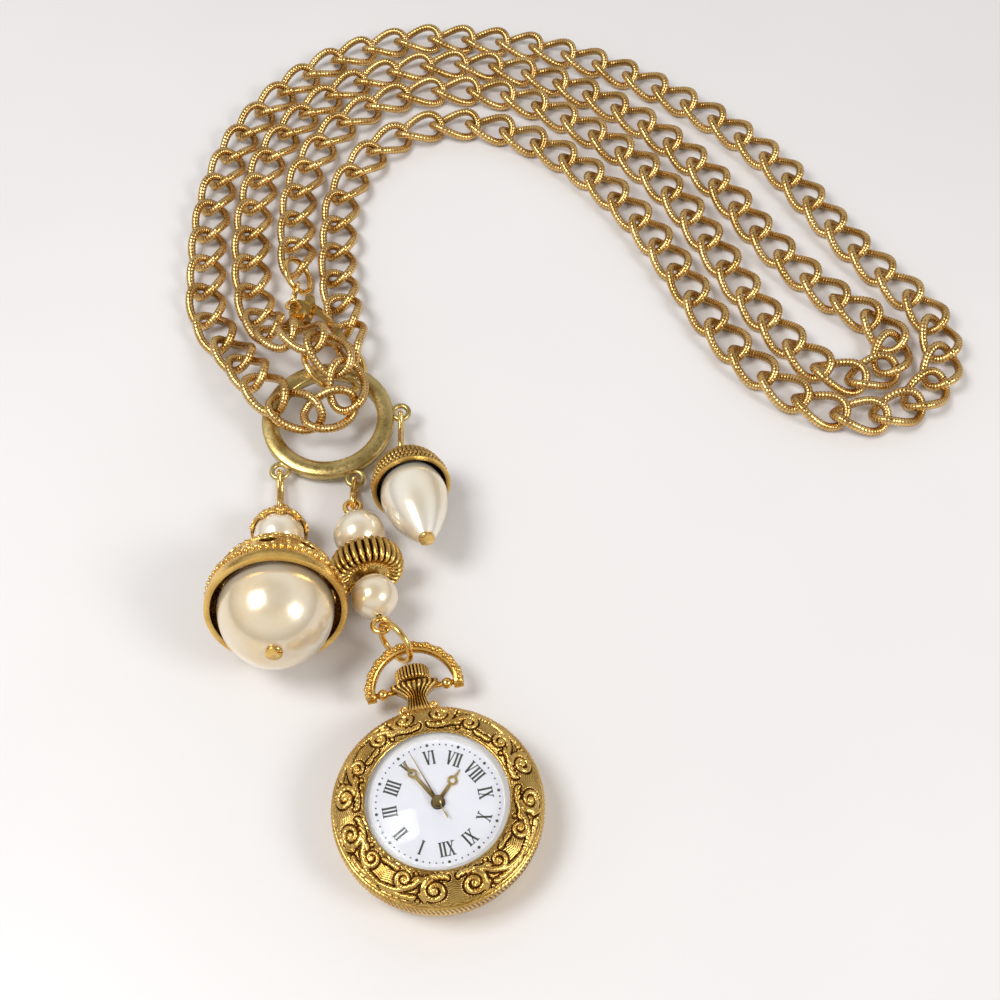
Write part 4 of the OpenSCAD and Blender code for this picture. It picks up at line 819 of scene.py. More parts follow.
@dataclass
class Watch:
    """Case, bezel, dial, neck, crown and bow. Sizes in millimetres, turns in degrees."""

    finishes: Finishes
    turn: float = 12.0
    case_r: float = 13.9
    case_h: float = 6.4
    bore_r: float = 10.8
    seat_z: float = 2.5
    gasket_r: float = 11.69
    rabbet_r: float = 12.05
    rabbet_z: float = 0.54
    back_t: float = 1.2
    bezel_h: float = 2.1
    bezel_foot: float = 0.974
    lip_r: float = 9.35
    crystal_r: float = 9.9
    crystal_gap: float = 0.05
    flange_top: float = 7.8
    dial_top: float = 6.6
    numeral_r: float = 6.25
    numeral_h: float = 1.9
    serif_h: float = 0.12
    dot_ring_r: float = 7.95
    hour_dot_r: float = 0.2
    minute_dot_r: float = 0.11
    ink_t: float = 0.03
    stem_z: float = 3.84
    stem_r: float = 0.6
    neck_foot_w: float = 5.3
    neck_waist_w: float = 2.9
    neck_top_w: float = 6.8
    neck_l: float = 4.8
    neck_depth: float = 3.0
    neck_waves: float = 4.5
    neck_flute_depth: float = 0.24
    crown_d: float = 4.8
    crown_l: float = 2.4
    crown_gap: float = 0.25
    crown_flutes: int = 28
    crown_flute_depth: float = 0.34
    pivot_v: float = 18.009
    bow_out_r: float = 6.85
    bow_rise: float = 5.2
    bow_t: float = 1.3
    bow_tilt: float = 16.0
    scrolls: int = 8
    scroll_depth: float = 0.42
    rope_low: float = 4.3
    rope_high: float = 6.25
    rope_turns: int = 150
    rope_depth: float = 0.2
    grain_depth: float = 0.07

    def build(self) -> None:
        """Build the whole watch."""
        self.bezel()
        self.case_band()
        self.dial_print()
        self.neck()
        self.crown()
        self.bow_flowers()
        self.smooth_nodes()
        self.movement()

    def place(self) -> Place:
        """Give the watch's own frame: right, towards the neck, up."""
        return Place(np.zeros(3), Place.about(2, self.turn))

    def scroll_strokes(self) -> tuple[np.ndarray, np.ndarray]:
        """Draw one scroll unit: a volute with its stem, a counter scroll and leaf fronds.

        A volute is a spiral whose radius falls evenly with its turn. A frond is a short arc that
        leaves the volute's outside and curls over, widest in its middle. All lengths are in
        millimetres, x along the bezel, y across it.

        Returns:
            Points of all strokes, and the half width of the stroke at each.
        """
        volute_points, stem_points, leaf_points = 90, 80, 24
        strokes: list[np.ndarray] = []
        widths: list[np.ndarray] = []
        volutes = [(-2.1, -0.25, 60, -1.6, 1.55, 0.22, 0.42), (2.0, 0.55, 215, 1.4, 1.2, 0.2, 0.36)]
        for x, y, start, turns, outer, inner, wide in volutes:
            u, v = coil(start, turns, outer, inner, volute_points)
            strokes.append(np.stack([x + u, y + v], axis=1))
            widths.append(wide * (1 - 0.5 * np.linspace(0, 1, volute_points)))
        stem = [(-1.35, 1.1), (-0.2, 0.95), (0.55, 0.15), (1.05, -0.25), (2.4, -1.1), (4.6, -1.45)]
        strokes.append(smooth_curve(stem, stem_points))
        widths.append(np.linspace(0.42, 0.26, stem_points))
        fronds = [(-3.9 + 0.72 * k, 1.15 + 0.25 * math.sin(1.1 * k), 75 - 9 * k, 1.25, -1.5)
                  for k in range(6)]
        fronds += [(0.2 + 0.85 * k, -1.35 - 0.1 * k, -60 + 12 * k, 0.95, 1.4) for k in range(5)]
        fronds += [(3.2, 1.5, 20, 1.5, -0.6), (-0.3, -0.9, 205, 1.3, 1.0)]
        t = np.linspace(0, 1, leaf_points)
        for x, y, start, length, curl in fronds:
            bend = math.radians(start) + curl * t
            step = length / leaf_points
            path = [x + np.cumsum(step * np.cos(bend)), y + np.cumsum(step * np.sin(bend))]
            strokes.append(np.stack(path, axis=1))
            widths.append(0.12 + 0.26 * np.sin(math.pi * (0.15 + 0.8 * t)))
        strokes.append(np.array([[-2.1, -0.25], [2.0, 0.55], [0.6, 1.75], [-0.2, -1.9]]))
        widths.append(np.array([0.42, 0.36, 0.3, 0.26]))
        return np.concatenate(strokes), np.concatenate(widths)

    def relief(self, cols: int) -> tuple[np.ndarray, np.ndarray]:
        """Work out the bezel's relief from how near each point is to a stroke, in half widths.

        A stroke stands up as a rounded ridge, finely hatched across. A groove runs beside it, the
        ground behind it carries wavy lines, and both rims of the bezel stay plain. Every second
        scroll unit is the mirror image of the one before.

        Args:
            cols: points across the bezel.

        Returns:
            How far each point sinks, and how dark it is, by angle and point.
        """
        half_w, half_l, unit_steps = 2.75, 4.55, 180
        ridge_to, groove_at, groove_w, groove_cut = 1.15, 1.3, 0.4, 0.45
        hatch_step, hatch_cut, line_gap, line_sway = 1.3, 0.13, 0.3, 0.3
        plain_from, plain_run, edge_at, edge_run = 2.3, 0.2, 2.72, 0.25
        across = np.linspace(-half_w, half_w, cols)
        along = np.linspace(-half_l, half_l, unit_steps, endpoint=False) + half_l / unit_steps
        x, y = np.meshgrid(along, across, indexing="ij")
        strokes, widths = self.scroll_strokes()
        gap = np.hypot(x[..., None] - strokes[:, 0], y[..., None] - strokes[:, 1]) / widths
        near = gap.min(axis=-1)
        hatch = wave(hatch_step * gap.argmin(axis=-1))
        ridge = np.sqrt(np.clip(1 - (near / ridge_to) ** 3, 0, 1)) - hatch_cut * hatch * (near > 0.3)
        lines = wave(TURN * (y + line_sway * np.sin(1.4 * x)) / line_gap)
        ground = 0.4 + 0.2 * lines
        rim = rising(np.abs(y), plain_from, plain_run)
        level = np.maximum(np.maximum(ridge, ground * (near > 1.0)), rim)
        groove = np.clip(groove_at - np.abs(near - groove_at) / groove_w, 0, 1)
        level = np.clip(level - groove_cut * groove * (1 - rim), 0, 1)
        depth = self.scroll_depth * (1 - level) * falling(np.abs(across), edge_at, edge_run)
        dark = groove * (1 - rim) + 0.75 * (1 - lines) * (near > 1.1) + 0.3 * hatch * (near < 1.0)
        pairs = self.scrolls // 2
        return (np.concatenate([depth, depth[::-1]] * pairs),
                np.clip(np.concatenate([dark, dark[::-1]] * pairs), 0, 1))

    def bezel(self) -> None:
        """Build the embossed bezel: the CAD profile turned about the axis, sunk by the relief."""
        r, h, b = self.case_r, self.case_h, self.bezel_h
        rise = [(self.bezel_foot, 0), (0.965, 0.28), (0.91, 0.62), (0.84, 0.88), (0.77, 1.0),
                (0.71, 0.96)]
        knots = [(k * r, h + s * b) for k, s in rise] + [(self.lip_r, self.flange_top + 0.2)]
        outer = smooth_curve(knots, 58)
        depth, dark = self.relief(len(outer))
        carved = outer[None] - depth[..., None] * outward(outer)[None]
        seat_r = self.crystal_r + self.crystal_gap
        under = [(self.lip_r, self.flange_top), (seat_r, self.flange_top), (seat_r, h), (0.96 * r, h)]
        stock = Stock(self.place())
        # Carved rows take the relief's patina; the lip's underside, the crystal seat and the foot get 0.6
        # of painted shade.
        stock.turned(lined(carved, under), len(carved), lined(dark, np.full(len(under), 0.6)))
        stock.piece("bezel_scrolls", "case", self.finishes.of("case_gold"), Slot.CASE, ("bezel",), 75.0)

    def case_band(self) -> None:
        """Build the case's band with a rope round its edge and a grained belly.

        The rope is the CAD profile sunk by a wave whose crests slant across the band.
        """
        r, h, t = self.case_r, self.case_h, self.back_t
        steps, waist = 1200, (r - 0.24, 4.1)
        belly = smooth_curve([(0.94 * r, t), (0.962 * r, 2.6), waist], 10)
        band = smooth_curve([waist, (r, 4.5), (r, 5.3), (r, 6.14), (self.bezel_foot * r, h)], 14)
        wall = np.concatenate([belly[:-1], band])
        angle, height = around(steps)[:, None], wall[:, 1][None]
        in_rope = rising(height, self.rope_low, 0.25) * falling(height, self.rope_high, 0.15)
        slant = wave(self.rope_turns * angle + 3.6 * (height - 5.2))
        grains = 0.5 + 0.5 * np.sin(97 * angle + 5 * height) * np.cos(61 * angle - 7 * height)
        depth = in_rope * self.rope_depth * slant**1.5 + (1 - in_rope) * self.grain_depth * grains
        outer = np.stack([wall[:, 0][None] - depth, height + 0 * depth], axis=-1)
        inner = [(self.bore_r, h), (self.bore_r, self.seat_z), (self.gasket_r, self.seat_z),
                 (self.gasket_r, t), (self.rabbet_r, t), (self.rabbet_r, self.rabbet_z)]
        dark = np.clip(in_rope * slant**1.2 + 0.25 * (1 - in_rope) * grains, 0, 1)
        stock = Stock(self.place())
        stock.turned(lined(outer, inner), steps, lined(dark, np.zeros(len(inner))))
        look = self.finishes.of("case_gold")
        stock.piece("case_rope_band", "case", look, Slot.CASE, ("case_ring",), 70.0)

    def numeral_bars(self) -> np.ndarray:
        """Draw the Roman numerals as four-cornered strokes, six beside the neck, feet to the middle.

        A letter is its width, its strokes as foot, head and width, and its feet as place and width.
        A stroke runs from the letter's foot line to its head line, its width measured along them.

        Returns:
            Corners as stroke, corner, two.
        """
        letters = {
            "I": (0.5, [(0.25, 0.25, 0.27)], [(0.25, 0.44)]),
            "V": (1.08, [(0.56, 0.2, 0.27), (0.56, 0.9, 0.13)], [(0.2, 0.46), (0.9, 0.36)]),
            "X": (1.06, [(0.86, 0.2, 0.27), (0.2, 0.86, 0.13)], [(0.2, 0.46), (0.86, 0.38)]),
        }
        names = ["I", "II", "III", "IIII", "V", "VI", "VII", "VIII", "IX", "X", "XI", "XII"]
        tall, serif = self.numeral_h, self.serif_h
        strokes: list[np.ndarray] = []
        for hour, name in enumerate(names, start=1):
            left = -sum(letters[c][0] for c in name) / 2
            bars: list[tuple[float, float, float, float, float]] = []
            for letter in name:
                width, lines, feet = letters[letter]
                bars += [(left + foot, left + head, w, -tall / 2, tall / 2) for foot, head, w in lines]
                for x, w in feet:
                    bars.append((left + x, left + x, w, tall / 2 - serif, tall / 2))
                    if letter != "V":
                        bars.append((left + x, left + x, w, -tall / 2, serif - tall / 2))
                left += width
            foot, head, w, low, high = np.array(bars).T
            x = np.stack([foot - w / 2, foot + w / 2, head + w / 2, head - w / 2], axis=1)
            y = np.stack([low, low, high, high], axis=1) + self.numeral_r
            turn = math.radians(30 * (hour - 6))
            c, s = math.cos(turn), math.sin(turn)
            strokes.append(np.stack([x * c + y * s, y * c - x * s], axis=-1))
        return np.concatenate(strokes)

    def dial_print(self) -> None:
        """Print the numerals and the minute dots, of which every fifth is large, on the dial."""
        minute = np.arange(60)
        size = np.where(minute % 5 == 0, self.hour_dot_r, self.minute_dot_r)[:, None]
        turn = (TURN * minute / 60)[:, None]
        rim = around(10)
        dots = np.stack([self.dot_ring_r * np.sin(turn) + size * np.cos(rim),
                         self.dot_ring_r * np.cos(turn) + size * np.sin(rim)], axis=-1)
        stock = Stock(self.place())
        for outlines in (self.numeral_bars(), dots):
            stock.plates(outlines, self.dial_top - 0.01, self.dial_top + self.ink_t)
        stock.piece("dial_numerals", "case", self.finishes.of("dial_ink"), Slot.DIAL)

    def neck(self) -> None:
        """Build the fluted fan between case and crown, and the curls at its foot.

        Each section across the neck is a rounded oblong, width and depth from smooth curves along
        the neck. Flutes sink its two faces by a wave that keeps its count from foot to top.
        """
        r, l = self.case_r, self.neck_l
        foot, waist, top = self.neck_foot_w / 2, self.neck_waist_w / 2, self.neck_top_w / 2
        half = self.neck_depth / 2
        knots = [(0.955 * r, foot, half), (r, 0.98 * foot, half), (r + 0.16 * l, 0.72 * foot, 0.9 * half),
                 (r + 0.46 * l, waist, 0.84 * half), (r + 0.6 * l, 1.06 * waist, 0.86 * half),
                 (r + 0.78 * l, 0.72 * top, 0.94 * half), (r + 0.88 * l, 0.94 * top, half),
                 (r + l, top, half)]
        spine = smooth_curve(knots, 56)
        angle = around(168)[:, None]
        c, s = np.cos(angle), np.sin(angle)
        x_share = np.sign(c) * np.abs(c) ** 0.8
        z_share = np.sign(s) * np.abs(s) ** 0.62
        flutes = 0.5 - 0.5 * np.cos(TURN * self.neck_waves * x_share)
        sink = self.neck_flute_depth * flutes * np.abs(z_share) ** 0.5 * rising(spine[:, 0], r, 1.2)
        x = x_share * spine[:, 1]
        z = z_share * (spine[:, 2] - sink)
        stock = Stock(self.place())
        stock.add(np.stack([x, spine[:, 0] + 0 * x, self.stem_z + z], axis=-1), np.clip(sink / 0.2, 0, 1))
        count = 40
        t = np.linspace(0, 1, count)
        u, v = coil(-70, 1.3, 0.62, 0.16, count)
        for side in (1, -1):
            path = [side * (2.02 + u), r + 0.75 + v, self.stem_z + 0.75 + 0.35 * t]
            stock.add(tube(np.stack(path, axis=1), 0.24 - 0.08 * t, np.array([0, 0, 1.0]), 8), 0.1)
        stock.piece("neck_flutes", "case", self.finishes.of("case_gold"), Slot.CASE, ("neck",), 70.0)

    def crown(self) -> None:
        """Build the fluted crown: its profile turned, sunk between the flutes by a rounded cosine."""
        r, l = self.crown_d / 2, self.crown_l
        dome = [(1, 0.72), (0.93, 0.8), (0.72, 0.91), (0.4, 0.98)]
        top = smooth_curve([(k * r, s * l) for k, s in dome] + [(0.03, l)], 22)
        wall = np.stack([np.full(12, r), np.linspace(0.08, 0.7, 12) * l], axis=1)
        inside = [(0.05, 0.4 * l), (self.stem_r, 0.4 * l), (self.stem_r, 0), (0.92 * r, 0)]
        profile = np.concatenate([inside, wall, top])
        steps = self.crown_flutes * 14
        valley = 1 - np.abs(np.cos(self.crown_flutes * around(steps)[:, None] / 2)) ** 0.9
        weight = rising(profile[:, 0] / r, 0.45, 0.3) * (np.arange(len(profile)) > 2)
        depth = self.crown_flute_depth * valley * weight
        block = np.stack([profile[:, 0] - depth, profile[:, 1] + 0 * depth], axis=-1)
        out = self.case_r + self.neck_l + self.crown_gap
        stock = Stock(self.place().shifted(0, out, self.stem_z, Place.about(0, -90)))
        stock.add(revolve(block, steps), np.clip(1.3 * valley * weight, 0, 1))
        stock.piece("crown_flutes", "crown", self.finishes.of("case_gold"), Slot.CASE, ("crown",), 75.0)

    def bow_place(self) -> Place:
        """Give the bow's own frame at its pivots."""
        return self.place().shifted(0, self.pivot_v, self.stem_z, Place.about(0, self.bow_tilt))

    def bow_flowers(self) -> None:
        """Set large and small beads in five rows on the outside of the bow.

        The rows lie at fixed places of the bow's section, every second one half a step on, and
        every third bead of a row is large, so that each large one has small ones round it.
        """
        centre_y = self.bow_rise - (self.bow_out_r - self.bow_t)
        reach = np.array([6.3, 6.62, 6.78, 6.62, 6.3])
        across = np.array([-0.98, -0.72, 0.0, 0.72, 0.98])
        stagger = np.array([0.0, 0.5, 0.0, 0.5, 0.0])
        count, large, small = 31, 0.82, 0.54
        angle = np.radians(np.linspace(7, 173, count))[:, None] + math.radians(5.5) * stagger
        spots = [reach * np.cos(angle), centre_y + reach * np.sin(angle), across + 0 * angle]
        size = np.where((np.arange(count)[:, None] + np.arange(5)) % 3 == 1, large, small)
        stock = Stock(self.bow_place())
        stock.add(beads(np.stack(spots, axis=-1).reshape(-1, 3), size.reshape(-1)), 0.05)
        stock.piece("bow_flowers", "bow", self.finishes.of("case_gold"), Slot.CASE)

    def near_axis(self, points: np.ndarray) -> np.ndarray:
        """Tell how deep points of the hands lie: their hubs are darker than their blades."""
        return 0.7 * (np.hypot(points[:, 0], points[:, 1]) < 1.0)

    def smooth_nodes(self) -> None:
        """Stand smooth copies in for the back, the bow, its screws, ring, dial, glass and hands."""
        looks = self.finishes
        for node in ("case_back", "bow"):
            smoothed(node, looks.of("case_gold"))
        smoothed("bow_screws", looks.of("polished_gold"))
        smoothed("rehaut_ring", looks.of("rehaut_silver"))
        smoothed("dial", looks.of("dial_enamel"))
        smoothed("crystal", looks.of("crystal_glass"))
        for node in ("hour_hand", "minute_hand", "second_hand"):
            smoothed(node, looks.of("hand_gold"), shade=self.near_axis)

    def movement(self) -> None:
        """Dress the parts inside the case that stay as they are."""
        looks = self.finishes
        inside = {
            "plate_brass": ("main_plate", "train_bridge"),
            "wheel_steel": ("second_wheel", "centre_wheel", "minute_wheel", "hour_wheel",
                            "third_wheel", "rotor", "stator", "stem", "stem_collar",
                            "bridge_screws", "battery_strap", "quartz_can"),
            "cell_steel": ("battery",),
            "holder_plastic": ("movement_holder",),
            "board_green": ("circuit_board",),
            "coil_copper": ("coil",),
            "seal_rubber": ("back_gasket", "crown_gasket"),
        }
        for look, nodes in inside.items():
            for node in nodes:
                dress_node(node, looks.of(look))


# Drops


@dataclass
class Pearls:
    """Round pearls on their drops, drilled for the pins. Sizes in millimetres."""

    finishes: Finishes
    bore_r: float = 0.4
    uneven: float = 0.004
    steps: int = 112

    def profile(self, outline: np.ndarray) -> np.ndarray:
        """Close an outline of radius and height with the bore.

        Args:
            outline: radius and height from foot to head.

        Returns:
            The closed profile.
        """
        low, high = outline[0, 1], outline[-1, 1]
        bore = np.stack([np.full(8, self.bore_r), np.linspace(high, low, 8)], axis=1)
        return np.concatenate([outline, bore])

    def round_pearl(self, node: str, place: Place, diameter: float, at: float) -> None:
        """Build a round pearl, very slightly uneven.

        Its radius swells and shrinks by under half a percent with the angle round and along.

        Args:
            node: the CAD node it stands for, and its body.
            place: its drop's frame.
            diameter: its diameter.
            at: its centre's height in that frame.
        """
        r = diameter / 2
        start = math.asin(self.bore_r / r)
        tilt = np.linspace(start, math.pi - start, 72)
        profile = self.profile(np.stack([r * np.sin(tilt), -r * np.cos(tilt)], axis=1))
        angle, height = around(self.steps)[:, None], profile[:, 1]
        swing = 1 + np.sin(2 * angle + 3 * height / r) * np.cos(angle - 2 * height / r)
        swell = 1 - self.uneven * swing * (profile[:, 0] > self.bore_r * 1.5)
        stock = Stock(place)
        stock.turned(profile[None] * swell[..., None], self.steps, at=at)
        stock.piece(f"{node}_lustre", node, self.finishes.of("pearl_nacre"), Slot.PEARL, (node,), 50.0)

    def drop_pearl(self, place: Place, low: float, length: float, radius: float) -> None:
        """Build the long drop: a smooth outline turned about its pin.

        Args:
            place: the drop's frame.
            low: height of its top in that frame.
            length: its length.
            radius: its widest radius.
        """
        shares = [(0.16, 0), (0.5, 0.06), (0.78, 0.16), (0.94, 0.28), (1, 0.4), (0.95, 0.53),
                  (0.82, 0.68), (0.62, 0.82), (0.42, 0.93), (0.26, 1)]
        outline = smooth_curve([(r * radius, low + s * length) for r, s in shares], 90)
        stock = Stock(place)
        stock.turned(self.profile(outline), self.steps)
        look = self.finishes.of("drop_nacre")
        stock.piece("teardrop_lustre", "teardrop", look, Slot.PEARL, ("teardrop_pearl",), 50.0)


@dataclass
class MiddleDrop:
    """Two pearls and a fluted rondelle on one pin. Sizes in millimetres, turns in degrees."""

    finishes: Finishes
    low: np.ndarray = field(default_factory=lambda: joint_at("rondelle_spin"))
    azimuth: float = 14.5
    tilt: float = 6.0
    lower_d: float = 6.8
    lower_at: float = 6.24
    upper_d: float = 7.7
    upper_at: float = 18.05
    rondelle_d: float = 10.8
    rondelle_l: float = 5.4
    rondelle_at: float = 11.92
    bore_r: float = 0.4
    flutes: int = 30
    flute_depth: float = 0.62

    def place(self) -> Place:
        """Give the pin's frame, from the watch towards the ring."""
        return Place.heading(self.low, self.azimuth, -self.tilt)

    def build(self) -> None:
        """Build the drop's pieces."""
        pearls = Pearls(self.finishes)
        pearls.round_pearl("lower_pearl", self.place(), self.lower_d, self.lower_at)
        pearls.round_pearl("upper_pearl", self.place(), self.upper_d, self.upper_at)
        self.rondelle()
        for node in ("mid_pin", "mid_connector", "bow_ring"):
            smoothed(node, self.finishes.of("polished_gold"))

    def rondelle(self) -> None:
        """Build the fluted rondelle: its profile turned, sunk between ridges towards its middle.

        The depth between two ridges is one minus a rounded cosine, and fades out near the hub.
        """
        r, h = self.rondelle_d / 2, self.rondelle_l / 2
        hub = 0.4 * self.rondelle_l
        half = [(0.3, 0.8), (0.5, 0.62), (0.7, 0.8), (0.82, 0.8), (0.92, 0.62), (0.985, 0.3), (1, 0)]
        knots = [(k * r, -z * h) for k, z in half] + [(k * r, z * h) for k, z in half[-2::-1]]
        bore = [(self.bore_r, hub), (self.bore_r, -hub)]
        profile = np.concatenate([smooth_curve(knots, 64), bore])
        steps = self.flutes * 16
        valley = 1 - np.abs(np.cos(self.flutes * around(steps)[:, None] / 2)) ** 0.8
        weight = rising(profile[:, 0] / r, 0.36, 0.3)
        depth = self.flute_depth * valley * weight
        away = profile - np.array([0.72 * r, 0.0])
        away = away / np.maximum(np.linalg.norm(away, axis=1), 0.3)[:, None]
        # Flute valleys darken as patina; the hub, hidden against the pearls, gets 0.5 of painted shade.
        dark = np.clip(1.25 * valley * weight + 0.5 * (weight < 0.2), 0, 1)
        stock = Stock(self.place())
        stock.turned(profile[None] - depth[..., None] * away[None], steps, dark, self.rondelle_at)
        look = self.finishes.of("case_gold")
        stock.piece("rondelle_flutes", "rondelle", look, Slot.FITTINGS, ("rondelle",), 70.0)


@dataclass
class LeftDrop:
    """Large pearl under a filigree dome, with a small pearl and its leaf cap above.

    Sizes in millimetres, turns in degrees.
    """

    finishes: Finishes
    high: np.ndarray = field(default_factory=lambda: joint_at("dome_cap_spin"))
    azimuth: float = 186.3
    tilt: float = 18.3
    length: float = 23.98
    large_d: float = 16.2
    small_d: float = 7.5
    small_at: float = 16.87
    dome_r: float = 9.85
    dome_h: float = 13.0
    small_cap_r: float = 4.27
    windows: int = 10
    leaves: int = 9

    def place(self) -> Place:
        """Give the dome's frame: origin at the rim's centre, third axis towards the ring."""
        down = Place.heading(self.high, self.azimuth, self.tilt).turn[:, 2]
        return Place.heading(self.high + self.length * down, self.azimuth - 180, -self.tilt)

    def build(self) -> None:
        """Build the drop's pieces."""
        pearls = Pearls(self.finishes)
        gold = self.finishes.of("case_gold")
        pearls.round_pearl("large_pearl", self.place(), self.large_d, 0.0)
        pearls.round_pearl("small_pearl", self.place(), self.small_d, self.small_at)
        # The dome's inside is darkened as painted shade, deeper under its outside.
        smoothed("dome_cap", gold, 40.0, self.dome_inside_shade)
        smoothed("small_cap", gold, 40.0)
        for node in ("left_pin", "left_connector"):
            smoothed(node, self.finishes.of("polished_gold"))
        self.filigree()
        self.leaf_cap()

    def on_dome(self, angle: np.ndarray, share: np.ndarray, lift: float) -> tuple[np.ndarray, np.ndarray]:
        """Find points on the dome's outside.

        The radius at a height comes from the CAD outline, and each point is moved along the outline's
        normal by the lift.

        Args:
            angle: angle round, in radians.
            share: height as a share of the dome's.
            lift: distance above the surface.

        Returns:
            Points and outward normals, in the dome's frame.
        """
        heights = np.array([0, 0.08, 0.185, 0.35, 0.54, 0.73, 0.87, 0.97, 1]) * self.dome_h
        radii = np.array([1, 1.005, 0.975, 0.914, 0.8, 0.63, 0.447, 0.284, 0.12]) * self.dome_r
        z = share * self.dome_h
        r = np.interp(z, heights, radii)
        step = 0.3
        slope = (np.interp(z + step, heights, radii) - np.interp(z - step, heights, radii)) / (2 * step)
        length = np.hypot(1, slope)
        out, up = 1 / length, -slope / length
        normal = np.stack([out * np.cos(angle), out * np.sin(angle), up + 0 * angle], axis=-1)
        point = np.stack([r * np.cos(angle), r * np.sin(angle), z + 0 * angle], axis=-1)
        return point + lift * normal, normal

    def dome_inside_shade(self, points: np.ndarray) -> np.ndarray:
        """Paint shade on the dome's inside: the deeper a point lies under its outside, the darker.

        Args:
            points: places in millimetres, in the shared frame.

        Returns:
            A share of painted shade up to 0.45 for each point.
        """
        wall, darkest = 1.2, 0.45
        place = self.place()
        local = (points - place.origin) @ place.turn
        angle = np.arctan2(local[:, 1], local[:, 0])
        skin, normal = self.on_dome(angle, np.clip(local[:, 2] / self.dome_h, 0, 1), 0.0)
        return np.clip(((skin - local) * normal).sum(axis=1) / wall, 0, darkest)

    def filigree(self) -> None:
        """Lay bead rows, wire rings, window frames and scrolls on the dome.

        A row of beads is its height share, its count and the beads' diameter; a wire ring is its
        height share and the wire's radius. A window frame is a circle drawn on the surface, its
        sideways share divided by the radius there. A scroll is a spiral drawn the same way.
        """
        stock = Stock(self.place())
        rows = ((0.205, 60, 0.86), (0.53, 50, 0.62), (0.845, 26, 0.66), (0.94, 14, 0.66))
        for share, count, size in rows:
            spots, _ = self.on_dome(around(count), np.full(count, share), 0.02)
            stock.add(beads(spots, size), 0.05)
        for share, wire in ((0.252, 0.15), (0.49, 0.14), (0.57, 0.13), (0.8, 0.13)):
            path, normal = self.on_dome(around(160), np.full(160, share), 0.03)
            stock.hoops(path, wire, normal)
        between = TURN * np.arange(self.windows) / self.windows
        middle = TURN * (np.arange(self.windows) + 0.5) / self.windows
        round_it = around(36)
        window_r, window_at, skin_r = 0.09 * self.dome_h + 0.17, 0.37, 8.9
        for extra, wire in ((0.0, 0.18), (0.33, 0.12)):
            reach = window_r + extra
            angle = middle[:, None] + reach * np.cos(round_it) / skin_r
            share = window_at + reach * np.sin(round_it) / (1.1 * self.dome_h) + 0 * angle
            path, normal = self.on_dome(angle, share, 0.03)
            stock.hoops(path, wire, normal)
        for share, size in ((0.29, 0.55), (0.345, 0.7), (0.405, 0.6), (0.455, 0.45)):
            spots, _ = self.on_dome(between, np.full(self.windows, share), 0.02)
            stock.add(beads(spots, size))
        u, v = coil(250, 1.45, 1.25, 0.2, 44)
        scroll_at, skin_r = 0.685, 6.4
        for side in (1, -1):
            angle = between[:, None] + side * (math.radians(9) + u / skin_r)
            share = scroll_at + v / (1.35 * self.dome_h) + 0 * angle
            path, normal = self.on_dome(angle, share, 0.04)
            stock.add(tube(path, 0.17, normal), 0.05)
        spots, _ = self.on_dome(middle, np.full(self.windows, 0.755), 0.03)
        stock.add(beads(spots, 0.6))
        stock.piece("dome_filigree", "dome_cap", self.finishes.of("case_gold"), Slot.FITTINGS)

    def on_cap(self, angle: np.ndarray, rise: np.ndarray) -> tuple[np.ndarray, np.ndarray]:
        """Find points just above the small cap, a ball of its radius.

        Args:
            angle: angle round, in radians.
            rise: angle above the cap's rim, in radians.

        Returns:
            Points and outward normals, in the dome's frame.
        """
        share = [np.cos(rise) * np.cos(angle), np.cos(rise) * np.sin(angle), np.sin(rise) + 0 * angle]
        normal = np.stack(share, axis=-1)
        return np.array([0, 0, self.small_at]) + (self.small_cap_r + 0.03) * normal, normal

    def leaf_cap(self) -> None:
        """Lay leaf outlines, their veins and two rows of beads on the small cap."""
        stock = Stock(self.place())
        round_it = around(30)
        middle = TURN * np.arange(self.leaves) / self.leaves
        angle = middle[:, None] + 0.26 * np.cos(round_it) * (1 - 0.35 * np.sin(round_it))
        path, normal = self.on_cap(angle, np.radians(34 + 22 * np.sin(round_it)) + 0 * angle)
        stock.hoops(path, 0.14, normal)
        vein = np.radians(np.linspace(16, 52, 12))
        path, normal = self.on_cap(middle[:, None] + 0 * vein, vein + 0 * middle[:, None])
        stock.add(tube(path, 0.13, normal), 0.05)
        for rise, size in ((69, 0.6), (8, 0.55)):
            spots, _ = self.on_cap(middle, np.full(self.leaves, math.radians(rise)))
            stock.add(beads(spots, size))
        stock.piece("small_cap_leaves", "small_cap", self.finishes.of("case_gold"), Slot.FITTINGS)


